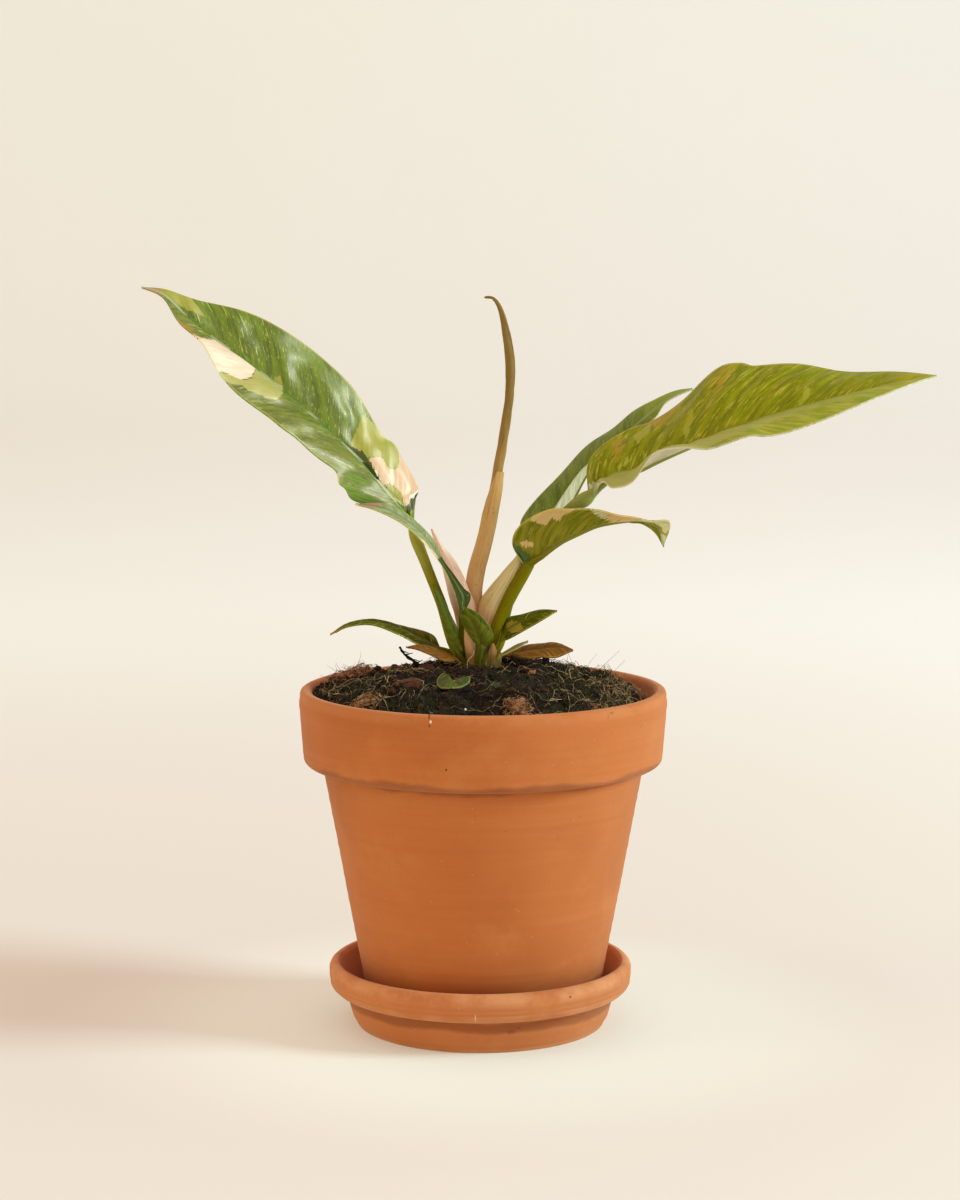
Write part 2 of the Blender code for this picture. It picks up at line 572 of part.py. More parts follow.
def make_leaf_low_right():
    return leaf(
        "leaf_low_right", GREEN,
        rib=[(9.8, -2.6, 148.5), (11.8, -2.2, 151), (15.5, -3, 154.5), (22.5, -5, 158), (28.8, -7, 159.5)],
        left=[(9.8, -1.4, 149.2), (11.2, 2.6, 153.5), (16, 3.5, 156.5), (22.5, 0, 159)],
        right=[(10.3, -3.8, 148.2), (12.5, -7, 150), (17.5, -9, 154.5), (23, -9, 157.2)],
        petiole=[(3.6, -3.2, 141, 1.2), (7.3, -3.9, 145, 1.2), (9.8, -2.6, 148.5, 1.1)],
        stations=12, petiole_stations=4, belly=0.1, keel=0.35, columns=SMALL_COLUMNS)


def make_leaf_dead_left():
    return leaf(
        "leaf_dead_left", DRY_BROWN,
        rib=[(-9.7, -7.5, 141.4), (-13, -8.5, 142.9), (-19, -9.5, 145), (-24, -10.5, 146.3),
             (-28, -11.5, 146.5)],
        left=[(-9.8, -8.8, 141), (-14, -11.5, 141.5), (-19.5, -12.5, 144), (-24, -12.5, 145.8)],
        right=[(-9.5, -6.3, 141.8), (-12.8, -5.7, 143.5), (-19, -6.5, 146), (-23.8, -9, 147)],
        petiole=[(-3.5, -2.3, 138.3, 0.9), (-7, -4.7, 139.7, 0.9), (-9.7, -7.5, 141.4, 0.8)],
        stations=11, petiole_stations=3, belly=-0.1, keel=0.2, columns=SMALL_COLUMNS)


def make_leaf_brown_right():
    return leaf(
        "leaf_brown_right", DRY_BROWN,
        rib=[(9.5, 2, 141.6), (15, 1.5, 142.5), (22.5, 0.5, 144), (29.5, -1, 145), (35, -3, 144.2)],
        left=[(9.5, 3.4, 142), (15, 6.5, 143.8), (22.5, 6.5, 145.3), (29.5, 3, 145.8)],
        right=[(9.5, 0.6, 141.4), (15, -4, 141.8), (22.5, -6, 142.5), (29, -6, 143.2)],
        petiole=[(3.5, 1.1, 138.5, 0.9), (6.6, 1.2, 140.2, 0.9), (9.5, 2, 141.6, 0.8)],
        stations=12, petiole_stations=3, belly=0.12, wave=(0.5, 3, 0.2), keel=0.2, columns=SMALL_COLUMNS)


def make_leaf_grey():
    return leaf(
        "leaf_grey", GREY_GREEN,
        rib=[(8.3, -7.6, 142.6), (11.3, -7.6, 144.5), (14.7, -7.6, 146.6), (18.3, -7.6, 148.2)],
        left=[(8.1, -6.4, 143), (11, -5, 145.3), (14.4, -5.4, 147.2)],
        right=[(8.5, -8.8, 142.3), (11.7, -9.8, 144), (15.1, -9.6, 146)],
        petiole=[(4.4, -4.2, 138.5, 0.9), (6.5, -6.3, 140.8, 0.9), (8.3, -7.6, 142.6, 0.8)],
        stations=9, petiole_stations=3, belly=0.1, keel=0.2, columns=SMALL_COLUMNS)


def make_seedling():
    return leaf(
        "seedling", GREEN,
        rib=[(-10, -30.6, 138.2), (-10.3, -33.5, 137.6), (-10.6, -36.8, 136.8), (-10.8, -39.6, 136.6)],
        left=[(-8.8, -30.8, 138.6), (-4.8, -32.2, 140.2), (-4.7, -35.8, 140), (-7.2, -39, 138)],
        right=[(-11.2, -30.8, 138.6), (-15.4, -32, 140), (-16.2, -35.5, 139.4), (-14.2, -39, 137.8)],
        petiole=[(SEEDLING_X, SEEDLING_Y, 128, 0.8), (SEEDLING_X, SEEDLING_Y, 134, 0.8),
                 (-10.3, -28, 137.4, 0.8), (-10, -30.6, 138.2, 0.7)],
        stations=9, petiole_stations=8, belly=-0.3, keel=0.2, columns=FOLDED_COLUMNS)


# The new leaf, still rolled: stations of its axis with a radius
SPIKE_AXIS = ((-1.5, 5, 142, 2.2), (-2.5, 5, 158, 2.3), (-2, 4, 171, 2.2), (2.7, 2.5, 190, 1.95),
              (6.4, 1, 210.5, 1.8), (9.4, 0, 229, 1.75), (11, 0, 241, 1.6), (11, 0, 253.5, 1.9),
              (9.3, 1, 265, 1.75), (7.4, 1, 272.5, 1.2), (4.8, 1, 276.5, 0.7), (1.5, 2, 277, 0.35))
SPIKE_STATIONS, SPIKE_SIDES = 32, 10
SEAM_TURNS = 1.3
SEAM_STEP = 0.14
WRAP_ANGLES = (150, 150, 145, 125, 30)     # how far the spike's sheath reaches round it, each side


def make_spike():
    """A slim rolled blade whose free edge winds up it as a low step."""
    line = smooth_line(SPIKE_AXIS, SPIKE_STATIONS)
    _, side, up = frames_along(line[:, :3], (1, 0, 0))
    turn = 2 * math.pi * np.arange(SPIKE_SIDES) / SPIKE_SIDES
    rings = []
    for i in range(SPIKE_STATIONS):
        seam = 2 * math.pi * SEAM_TURNS * i / SPIKE_STATIONS
        step = 1 - SEAM_STEP * (((turn - seam) / (2 * math.pi)) % 1.0)
        reach = line[i, 3] * step[:, None]
        rings.append(line[i, :3] + reach * (np.outer(np.cos(turn), side[i]) + np.outer(np.sin(turn), up[i])))
    points, faces = loft(rings)
    return mesh_object("spike", points, faces, OLIVE_BROWN)


# Sheaths
def make_sheath_spike():
    wrapped = [(x, y, z, radius + 1.5 * GAP + SHEATH_THICKNESS, angle)
               for (x, y, z, radius), angle in zip(SPIKE_AXIS, WRAP_ANGLES)]
    return sheath("sheath_spike", PINK, wrapped, (-0.4, 1, 0), sides=9)


def make_sheath_pink():
    return sheath("sheath_pink", PINK,
                  [(-3.2, 3, 140, 3.2, 80), (-4.3, 3, 148, 3.4, 80), (-6.8, 2.6, 158, 3.0, 78),
                   (-10.5, 1.6, 169.5, 2.8, 75), (-14.5, 0.5, 181, 1.9, 70), (-18.4, -1.5, 190.3, 0.5, 55)],
                  (0.75, 0.65, 0.1))


def make_sheath_right():
    return sheath("sheath_right", CREAM,
                  [(1.6, -1.8, 141, 3.0, 80), (2.7, -2, 149, 3.4, 80), (4.2, -2.1, 157.5, 4.0, 80),
                   (7.3, -2.2, 165.5, 3.4, 82), (11, -2.3, 173.5, 2.5, 80), (14, -2.4, 179.5, 1.3, 75)],
                  (0.95, 0.3, -0.1))


def make_sheath_front():
    return sheath("sheath_front", PINK,
                  [(-1.8, -5.6, 139.5, 1.5, 80), (-2.6, -6.8, 146, 1.5, 80), (-4, -7.6, 150.8, 1.1, 75),
                   (-5.5, -8, 154.2, 0.4, 60)],
                  (0.3, 1, 0), stations=9, sides=5)


# What lies in and on the soil
# a chip: centre with its height above the soil, half sizes, turn in degrees
CHIPS = {
    "bark_left": ((-27, -30, 1.0), (4.6, 2.6, 1.3), 25),
    "bark_rear": ((-20, -8, 0.8), (3.2, 2.0, 1.2), -15),
    "bark_orange": ((19, -20, 0.6), (1.8, 1.2, 0.8), 40),
}
# a twig: stations with their height above the soil
TWIGS = {
    "twig_left": ((-31, 2, 8.0), (-28, 1, 4.0), (-22.5, -1, 1.0), (-18, -3, -1.5)),
    "twig_right": ((13, -10.3, 6.5), (14.6, -13, 3.0), (16.2, -17, 0.5), (16.6, -22, -1.5)),
}
TWIG_RADIUS = 0.8
TWIG_STATIONS = 8
SEEDLING_X, SEEDLING_Y = -10.4, -27.4
SEEDLING_HOLE_RADIUS = 1.8


def chip(name, grow=0.0):
    """A worn flake of bark, half sunk in the soil."""
    (x, y, above), (long_half, wide_half, high_half), degrees = CHIPS[name]
    centre = Vector((x, y, soil_height(x, y) + above))
    bm = bmesh.new()
    bmesh.ops.create_icosphere(bm, subdivisions=2, radius=1.0)
    turn = Matrix.Rotation(math.radians(degrees), 3, "Z")
    for vert in bm.verts:
        p = vert.co
        boxed = Vector(math.copysign(abs(c)**0.6, c) for c in p)
        rough = 1 + 0.12 * noise.noise(p * 2.0 + Vector((x, y, 0)))
        size = Vector((long_half * rough + grow, wide_half * rough + grow, high_half + grow))
        vert.co = (centre + turn @ Vector(boxed[i] * size[i] for i in range(3))) * MM
    mesh = bpy.data.meshes.new(name)
    bm.to_mesh(mesh)
    bm.free()
    made = bpy.data.objects.new(name if not grow else name + "_hole", mesh)
    made.data.materials.append(BARK)
    bpy.context.scene.collection.objects.link(made)
    return made


def twig(name, grow=0.0):
    """A dark twig with one end in the soil."""
    stations = [(x, y, soil_height(x, y) + above) for x, y, above in TWIGS[name]]
    path = smooth_line(stations, TWIG_STATIONS)
    if grow:
        path[-1] += (path[-1] - path[-2]) * 0.3
    radii = np.linspace(0.55, 1.0, TWIG_STATIONS) * TWIG_RADIUS + grow
    points, faces = loft(tube_rings(path, radii, radii, (0, 1, 0), 6))
    return mesh_object(name if not grow else name + "_hole", points, faces, TWIG)


def seedling_hole():
    """A plain hole for the seedling's stalk."""
    path = np.array([(SEEDLING_X, SEEDLING_Y, z) for z in (127.0, 134.0, 142.0)])
    radii = np.full(3, SEEDLING_HOLE_RADIUS)
    points, faces = loft(tube_rings(path, radii, radii, (1, 0, 0), 8))
    return mesh_object("seedling_hole", points, faces, SOIL)


# Assembly
clear_scene()
make_saucer()
make_pot()
soil = make_soil()
make_stem()
holes = [stem_body("stem_hole", CUT_ROOM)] + [root(i, CUT_ROOM) for i in range(ROOT_COUNT)]
holes += [chip(name, CUT_ROOM) for name in CHIPS] + [twig(name, CUT_ROOM) for name in TWIGS]
holes.append(seedling_hole())
boolean(soil, "DIFFERENCE", tools=group("soil_holes", [cutter(hole) for hole in holes]))
for name in CHIPS:
    chip(name)
for name in TWIGS:
    twig(name)
stem_room = cutter(stem_body("stem_room", CUT_ROOM))
for make in (make_leaf_left, make_leaf_strip, make_leaf_right, make_leaf_back, make_leaf_curl, make_leaf_front,
             make_leaf_dark, make_leaf_low_left, make_leaf_low_right, make_leaf_dead_left,
             make_leaf_brown_right, make_leaf_grey, make_spike, make_sheath_spike, make_sheath_pink,
             make_sheath_right, make_sheath_front):
    boolean(make(), "DIFFERENCE", tool=stem_room)
make_seedling()
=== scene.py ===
# %% [markdown]
# A ring of fire philodendron in its terracotta pot.
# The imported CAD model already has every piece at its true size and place, as plain solids. This
# lesson keeps that frame and dresses it: turned clay with wheel lines, blades with veins and
# cream patches, and soil made of crumbs, moss and coconut fibre.

# %% Load the frame
import math
import random

import bmesh
import bpy
import numpy as np
from mathutils import Matrix, Vector, noise


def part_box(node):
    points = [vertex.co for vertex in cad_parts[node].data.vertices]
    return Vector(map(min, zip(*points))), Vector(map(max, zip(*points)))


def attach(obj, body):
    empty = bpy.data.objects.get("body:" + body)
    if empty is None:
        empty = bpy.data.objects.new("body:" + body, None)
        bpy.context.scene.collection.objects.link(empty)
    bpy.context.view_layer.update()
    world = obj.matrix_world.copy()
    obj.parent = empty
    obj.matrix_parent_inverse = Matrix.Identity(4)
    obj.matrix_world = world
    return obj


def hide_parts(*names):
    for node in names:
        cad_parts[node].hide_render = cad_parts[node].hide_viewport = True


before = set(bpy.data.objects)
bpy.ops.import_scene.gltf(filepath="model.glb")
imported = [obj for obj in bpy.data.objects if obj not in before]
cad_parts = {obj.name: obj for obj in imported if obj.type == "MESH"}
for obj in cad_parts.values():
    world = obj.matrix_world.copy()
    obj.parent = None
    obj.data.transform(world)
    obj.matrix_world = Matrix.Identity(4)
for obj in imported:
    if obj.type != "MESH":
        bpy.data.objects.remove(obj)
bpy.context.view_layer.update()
MM = 0.001

# %% [markdown]
# The camera stood about a metre away with a long lens, a little above the pot's rim and looking
# slightly down, so the pot hardly narrows with depth. Place and dip come from the rim's oval and
# from the saucer's, which a camera sees rounder the lower they lie.

# %% Camera
CAMERA_PLACE = (-0.2, -1065.6, 292.5)     # mm
CAMERA_DIP = 0.121                        # radians below the horizon
camera_data = bpy.data.cameras.new("camera")
camera_data.lens = 85
camera_data.sensor_width = 36
camera = bpy.data.objects.new("camera", camera_data)
camera.location = Vector(CAMERA_PLACE) * MM
camera.rotation_euler = (math.pi / 2 - CAMERA_DIP, 0, 0)
bpy.context.scene.collection.objects.link(camera)
bpy.context.scene.camera = camera
bpy.context.scene.view_settings.view_transform = "Standard"
print("camera dips", round(math.degrees(CAMERA_DIP), 1), "degrees")

# %% [markdown]
# Materials are node trees, and writing one node takes several lines of Blender's own calls. A
# small helper keeps each step of a finish on one line: it adds a node, sets its numbers and
# links what is already a socket. Colours may be web codes.

# %% Node helper


def tint(code):
    """A web colour in the linear values that shaders use; anything else stays as it is."""
    if not isinstance(code, str):
        return code
    shares = [int(code[i:i + 2], 16) / 255 for i in (1, 3, 5)]
    return tuple(s / 12.92 if s <= 0.04045 else ((s + 0.055) / 1.055)**2.4 for s in shares) + (1.0,)


class Wiring:
    """Adds nodes to one tree and joins them."""

    def __init__(self, tree):
        self.tree = tree

    def feed(self, socket, value):
        if isinstance(value, bpy.types.NodeSocket):
            self.tree.links.new(value, socket)
        elif value is not None:
            socket.default_value = value

    def add(self, kind, inputs=None, **settings):
        node = self.tree.nodes.new("ShaderNode" + kind)
        for name, value in settings.items():
            setattr(node, name, value)
        for name, value in (inputs or {}).items():
            self.feed(node.inputs[name], value)
        return node

    def math(self, operation, *values):
        return self.add("Math", dict(enumerate(values)), operation=operation).outputs[0]

    def vector(self, operation, *values, output=0):
        return self.add("VectorMath", dict(enumerate(values)), operation=operation).outputs[output]

    def times(self, first, second):
        return self.math("MULTIPLY", first, second)

    def scaled(self, value, factor, start):
        return self.math("MULTIPLY_ADD", value, factor, start)

    def mix(self, share, first, second):
        inputs = {0: share, 6: tint(first), 7: tint(second)}
        return self.add("Mix", inputs, data_type="RGBA").outputs[2]

    def lay(self, colour, share, strength, paint):
        """Lays a paint over a colour where share is 1, as strongly as told."""
        return self.mix(self.times(share, strength), colour, paint)

    def rise(self, value, low, high):
        """0 below low, 1 above high and smooth between them."""
        inputs = {"Value": value, "From Min": low, "From Max": high}
        return self.add("MapRange", inputs, interpolation_type="SMOOTHSTEP").outputs[0]

    def cloud(self, place, scale, detail=2.0, roughness=0.5):
        inputs = {"Vector": place, "Scale": scale, "Detail": detail, "Roughness": roughness}
        return self.add("TexNoise", inputs).outputs[0]

    def join(self, x, y, z):
        return self.add("CombineXYZ", {"X": x, "Y": y, "Z": z}).outputs[0]

    def split(self, place):
        return self.add("SeparateXYZ", {"Vector": place}).outputs

    def stretched(self, place, *factors):
        """A place with its x, y and z each taken times a factor."""
        return self.join(*(self.times(part, factor) for part, factor in zip(self.split(place), factors)))

    def mark(self, name, output="Vector"):
        """A value that the mesh carries on its points."""
        return self.add("Attribute", attribute_name=name).outputs[output]

    def object_place(self):
        return self.add("TexCoord").outputs["Object"]

    def use(self, tree, **inputs):
        """A shared effect, with its own values."""
        return self.add("Group", inputs, node_tree=tree).outputs[0]


class Finish(Wiring):
    """A new material; extra values set the sockets of its surface shader."""

    def __init__(self, name, roughness, **fixed):
        self.made = bpy.data.materials.new(name)
        self.made.use_nodes = True
        super().__init__(self.made.node_tree)
        self.surface = self.tree.nodes["Principled BSDF"].inputs
        for socket, value in {"Roughness": roughness, **fixed}.items():
            self.feed(self.surface[socket.replace("_", " ")], value)

    def done(self, colour, height=None, strength=0.0, depth=0.0):
        """Gives the surface its colour and, where there is a height, a relief of that depth."""
        self.feed(self.surface["Base Color"], colour)
        if height is not None:
            relief = self.add("Bump", {"Height": height, "Strength": strength, "Distance": depth})
            self.feed(self.surface["Normal"], relief.outputs[0])
        return self.made


def effect(name, output, **inputs):
    """An empty shared effect: its wiring, its incoming sockets and its one outgoing socket.

    An input without a value is a place; the others are numbers.
    """
    tree = bpy.data.node_groups.new(name, "ShaderNodeTree")
    for label, value in inputs.items():
        kind = "NodeSocketVector" if value is None else "NodeSocketFloat"
        socket = tree.interface.new_socket(label, in_out="INPUT", socket_type=kind)
        if value is not None:
            socket.default_value = value
    tree.interface.new_socket(output, in_out="OUTPUT", socket_type="NodeSocketFloat")
    wiring = Wiring(tree)
    incoming = tree.nodes.new("NodeGroupInput").outputs
    return wiring, incoming, tree.nodes.new("NodeGroupOutput").inputs[output]


# %% [markdown]
# Five effects turn up in several materials, so each is a node group built once. Specks are the
# hard dots in clay and soil. Wheel lines are the fine rings that a potter's rib leaves. A vein
# cloud is noise stretched along a leaf's side veins. A ragged patch gives a soft field on the
# mesh a torn edge that also follows the veins. Fibre lines run along stalks and sheaths.

# %% Shared effects
w, i, o = effect("specks", "Mask", Place=None, Scale=100.0, Share=0.2)
cells = w.add("TexVoronoi", {"Vector": i["Place"], "Scale": i["Scale"]})
lucky = w.math("LESS_THAN", w.split(cells.outputs["Color"])[0], i["Share"])
w.feed(o, w.times(lucky, w.rise(cells.outputs["Distance"], 0.34, 0.2)))
SPECKS = w.tree

FINE_RINGS, COARSE_RINGS = (6.0, 6.0, 600.0), (10.0, 10.0, 170.0)    # noise cells a metre along x, y, z
w, i, o = effect("wheel_lines", "Height", Place=None)
fine = w.cloud(w.stretched(i["Place"], *FINE_RINGS), 1.0, 3.0)
coarse = w.cloud(w.stretched(i["Place"], *COARSE_RINGS), 1.0, 2.0)
w.feed(o, w.scaled(fine, 0.45, w.times(coarse, 0.55)))
WHEEL_LINES = w.tree

w, i, o = effect("vein_cloud", "Shade", Vein=None, Fast=0.6, Slow=0.12, Seed=0.0)
origin, out, half = w.split(i["Vein"])
bent = w.join(w.times(origin, i["Fast"]), w.times(out, i["Slow"]), w.math("ADD", half, i["Seed"]))
w.feed(o, w.cloud(bent, 1.0, 2.0, 0.6))
VEIN_CLOUD = w.tree

w, i, o = effect("ragged_patch", "Mask", Field=0.0, Vein=None, Ragged=0.8, Level=0.5, Seed=0.0)
torn = w.use(VEIN_CLOUD, Vein=i["Vein"], Fast=0.8, Slow=0.17, Seed=i["Seed"])
swing = w.scaled(w.math("SUBTRACT", torn, 0.5), w.times(i["Ragged"], 2.0), 1.0)
low, high = w.math("SUBTRACT", i["Level"], 0.05), w.math("ADD", i["Level"], 0.05)
w.feed(o, w.rise(w.times(i["Field"], swing), low, high))
RAGGED_PATCH = w.tree

w, i, o = effect("fibre_lines", "Shade", Place=None, Fine=3.0, Seed=0.0)
along, across, _ = w.split(i["Place"])
w.feed(o, w.cloud(w.join(w.times(along, 0.08), w.times(across, i["Fine"]), i["Seed"]), 1.0, 3.0, 0.6))
FIBRE_LINES = w.tree
print("shared effects:", [tree.name for tree in bpy.data.node_groups])

# %% [markdown]
# Terracotta is a dull fired clay. Its colour drifts in soft clouds, fine rings run round it,
# edges that hands and shelves touch are paler, and small dark and white grains show. The mesh
# carries the wear on its points, so the pale edge stays on the edge from every side.

# %% Clay
# the first colour darkens the clay towards its foot; the second is painted shade, a dark line under the
# rim's or band's overhang
FOOT_DARKENING, OVERHANG_SHADE = "#9a4a1e", "#6c3014"
MARK_DEPTH = 4.0     # mm that a mark reaches into the clay, so that it meets the surface


def clay(name, body, deep, pale, worn, marks, darken_below_z, overhang_shade_z):
    """Fired clay. Each mark is x, y, z, half width, half height in mm, a colour and its strength.

    Below the first height the clay darkens to the foot; at the second, painted shade lies under the
    overhang.
    """
    w = Finish(name, 0.82, Specular_IOR_Level=0.2, Sheen_Weight=0.15, Sheen_Roughness=0.5,
               Sheen_Tint=(1.0, 0.86, 0.6, 1.0))
    place = w.object_place()
    rings = w.use(WHEEL_LINES, Place=place)
    grain = w.cloud(place, 900.0, 3.0, 0.6)
    colour = w.mix(w.rise(w.cloud(place, 14.0, 3.0), 0.35, 0.7), body, deep)
    colour = w.lay(colour, w.rise(w.cloud(place, 37.0, 4.0, 0.6), 0.5, 0.8), 0.6, pale)
    colour = w.lay(colour, w.rise(rings, 0.5, 0.7), 0.25, pale)
    colour = w.lay(colour, w.rise(rings, 0.5, 0.32), 0.25, deep)
    colour = w.lay(colour, w.rise(grain, 0.5, 0.8), 0.25, deep)
    height_there = w.scaled(w.cloud(place, 45.0, 3.0), 0.006, w.split(place)[2])
    # the clay turns darker towards the foot, below the given height
    colour = w.lay(colour, w.rise(height_there, darken_below_z + 0.006, darken_below_z - 0.006), 0.5, FOOT_DARKENING)
    # painted shade: a soft dark line under the overhang of the pot's rim or the saucer's band
    off_line = w.math("ABSOLUTE", w.math("SUBTRACT", height_there, overhang_shade_z + 0.003))
    colour = w.lay(colour, w.rise(off_line, 0.003, 0.001), 0.5, OVERHANG_SHADE)
    rubbed = w.times(w.mark("wear", "Fac"), w.rise(w.cloud(place, 60.0, 4.0, 0.65), 0.3, 0.6))
    colour = w.lay(colour, rubbed, 0.7, worn)
    for x, y, z, wide, high, (paint, strength) in marks:
        near = w.vector("SUBTRACT", place, Vector((x, y, z)) * MM)
        shrunk = w.vector("MULTIPLY", near, [1 / (side * MM) for side in (wide, MARK_DEPTH, high)])
        far = w.vector("LENGTH", shrunk, output="Value")
        wobble = w.scaled(w.math("SUBTRACT", w.cloud(place, 700.0), 0.5), 0.9, far)
        colour = w.lay(colour, w.rise(wobble, 1.0, 0.6), strength, paint)
    colour = w.lay(colour, w.use(SPECKS, Place=place, Scale=1100.0, Share=0.006), 0.4, "#5a2a14")
    colour = w.lay(colour, w.use(SPECKS, Place=place, Scale=1000.0, Share=0.005), 0.25, "#e8b88a")
    w.feed(w.surface["Roughness"], w.scaled(grain, 0.2, 0.7))
    return w.done(colour, w.scaled(rings, 0.6, w.times(grain, 0.4)), 0.28, 0.0003)


WHITE_CHIP, DARK_TICK = ("#f0dcc4", 1.0), ("#3a1c0c", 0.9)
PALE_SCRATCH, BROWN_RUB = ("#eec49a", 0.6), ("#7a3c1c", 0.45)
RIM_MARKS = ((-17.8, -66.7, 127.2, 0.5, 0.8, WHITE_CHIP), (-18.4, -66.7, 129.6, 0.3, 1.8, DARK_TICK),
             (-18.3, -66.7, 125.8, 0.3, 0.6, DARK_TICK), (60.6, -32.5, 122.2, 0.3, 2.6, PALE_SCRATCH),
             (47.5, -52.5, 128.0, 1.2, 0.5, BROWN_RUB), (46.2, -52.5, 126.8, 0.3, 1.2, BROWN_RUB),
             (-12.3, -68.5, 110.0, 0.4, 0.6, DARK_TICK))
SAUCER_MARKS = ((-1.9, -57.0, 16.0, 0.3, 1.8, PALE_SCRATCH), (11.0, -48.0, 8.8, 2.4, 1.1, BROWN_RUB),
                (14.0, -48.0, 10.0, 1.4, 0.6, BROWN_RUB), (33.0, -47.0, 21.5, 0.4, 0.5, DARK_TICK))
pot_low, pot_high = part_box("pot")
saucer_low, saucer_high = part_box("saucer")
POT_CLAY = clay("pot_clay", "#c06c35", "#b2612c", "#ca7c43", "#d8935f", RIM_MARKS,
                darken_below_z=0.028, overhang_shade_z=pot_high.z - 0.0282)
SAUCER_CLAY = clay("saucer_clay", "#c67440", "#b76836", "#cd8049", "#dc9a68", SAUCER_MARKS,
                   darken_below_z=-0.02, overhang_shade_z=0.0105)

# %% [markdown]
# A pot and a saucer are turned on a wheel, so each is one outline that spins about its axis.
# Arcs round the lip, the foot of the rim and the corner below it, and shallow waves on the
# outline are the rings that fingers leave. Afterwards every ring is pushed a few hundredths of
# a millimetre out of true, because no wheel runs perfectly.

# %% Turned pieces
TURN_STEPS = 224
AXIS_X = (pot_low.x + pot_high.x) / 2 / MM
RIM_TOP, POT_FOOT = pot_high.z / MM, pot_low.z / MM
RIM_RADIUS = (pot_high.x - pot_low.x) / 2 / MM
SAUCER_TOP = saucer_high.z / MM
SAUCER_RADIUS = (saucer_high.x - saucer_low.x) / 2 / MM
POINT_STEP = 2.0     # mm between the points of a straight stretch, roughly
RIPPLES = ((0.05, 2.1), (0.04, 4.7))     # each finger ring's depth in mm and its radians a mm
FLAT_MIDDLE = 8.0    # mm from the axis within which nothing ripples or wobbles
WOBBLES = ((1.0, 22), (0.3, 160))        # each wobble's share and its noise cells a metre
pieces = []          # every finished piece with its slot and the CAD node it stands for


def arc(centre, radius, start, end, count, wear=0.0):
    """Outline points on an arc, in degrees from outwards; each has its wear."""
    turns = np.radians(np.linspace(start, end, count))
    return [(centre[0] + radius * math.cos(a), centre[1] + radius * math.sin(a), wear) for a in turns]


def joined_up(stretches):
    """One outline from a list of stretches, with points on the straight lines between them."""
    outline = list(stretches[0])
    for stretch in stretches[1:]:
        (r, z, _), (next_r, next_z, _) = outline[-1], stretch[0]
        count = max(1, round(math.dist((r, z), (next_r, next_z)) / POINT_STEP))
        outline += [(r + (next_r - r) * k / count, z + (next_z - z) * k / count, 0.0)
                    for k in range(1, count)]
        outline += stretch
    return outline


def shown(name, mesh, slot, node=None):
    """Puts a mesh in the scene as a piece and notes its slot and its CAD node."""
    made = bpy.data.objects.new(name, mesh)
    bpy.context.scene.collection.objects.link(made)
    if slot:
        pieces.append((made, slot, node))
    return made


def settle(name, bm, finishes, smooth, slot, node=None):
    """A finished piece from a bmesh, shaded smooth below an angle in degrees."""
    mesh = bpy.data.meshes.new(name)
    bm.to_mesh(mesh)
    bm.free()
    mesh.shade_smooth()
    mesh.set_sharp_from_angle(angle=math.radians(smooth))
    for each in finishes:
        mesh.materials.append(each)
    print(name, len(mesh.polygons), "faces")
    return shown(name, mesh, slot, node)


def spun(bm, row, centre_x, steps, closed=False):
    """Spins a row of points about an upright axis."""
    pairs = list(zip(row, row[1:])) + ([(row[-1], row[0])] if closed else [])
    edges = [bm.edges.new(pair) for pair in pairs]
    bmesh.ops.spin(bm, geom=row + edges, cent=(centre_x * MM, 0, 0), axis=(0, 0, 1),
                   angle=2 * math.pi, steps=steps, use_merge=True)
    bmesh.ops.remove_doubles(bm, verts=bm.verts, dist=MM / 1000)
    bmesh.ops.recalc_face_normals(bm, faces=bm.faces)


def turned(name, outline, centre_x, finish_made, uneven, slot, node):
    """Spins an outline of (radius, height, wear) and lets it run slightly out of true."""
    bm = bmesh.new()
    wear = bm.verts.layers.float.new("wear")
    row = []
    for radius, height, worn in outline:
        if radius > FLAT_MIDDLE:
            radius += sum(deep * math.sin(height * turns) for deep, turns in RIPPLES)
        row.append(bm.verts.new(((centre_x + radius) * MM, 0, height * MM)))
        row[-1][wear] = worn
    spun(bm, row, centre_x, TURN_STEPS, closed=outline[0][0] > 0)
    for vert in bm.verts:
        out = Vector((vert.co.x - centre_x * MM, vert.co.y, 0))
        if out.length > FLAT_MIDDLE * MM:
            shift = uneven * sum(share * noise.noise(vert.co * cells) for share, cells in WOBBLES)
            vert.co += out.normalized() * shift * MM
    return settle(name, bm, [finish_made], 50, slot, node)


# %% [markdown]
# The pot: a tapered body, a thick rim that overhangs it, a rounded lip with a faint step below
# it and a hole in the floor. All numbers are millimetres and repeat the CAD outline.

# %% Pot
RIM_HEIGHT, RIM_TAPER, RIM_FOOT_ROUND = 28.7, 1.7, 3.3
LIP_ROUND, LIP_ROUND_INSIDE, STEP_BELOW_LIP, WALL = 2.2, 2.0, 3.6, 5.0
NECK_RADIUS, NECK_FILLET = 60.9, 1.6
POT_BASE_RADIUS, POT_BASE_ROUND, POT_FLOOR, FLOOR_COVE, DRAIN_RADIUS = 43.8, 1.5, 7.5, 3.0, 5.5
NECK_Z = RIM_TOP - RIM_HEIGHT
FLOOR_Z = POT_FOOT + POT_FLOOR
STEP_Z = RIM_TOP - STEP_BELOW_LIP


def pot_inside(z):
    """Inner radius of the pot at a height."""
    share = (z - FLOOR_Z) / (RIM_TOP - FLOOR_Z)
    return POT_BASE_RADIUS - WALL + share * (RIM_RADIUS - POT_BASE_RADIUS)


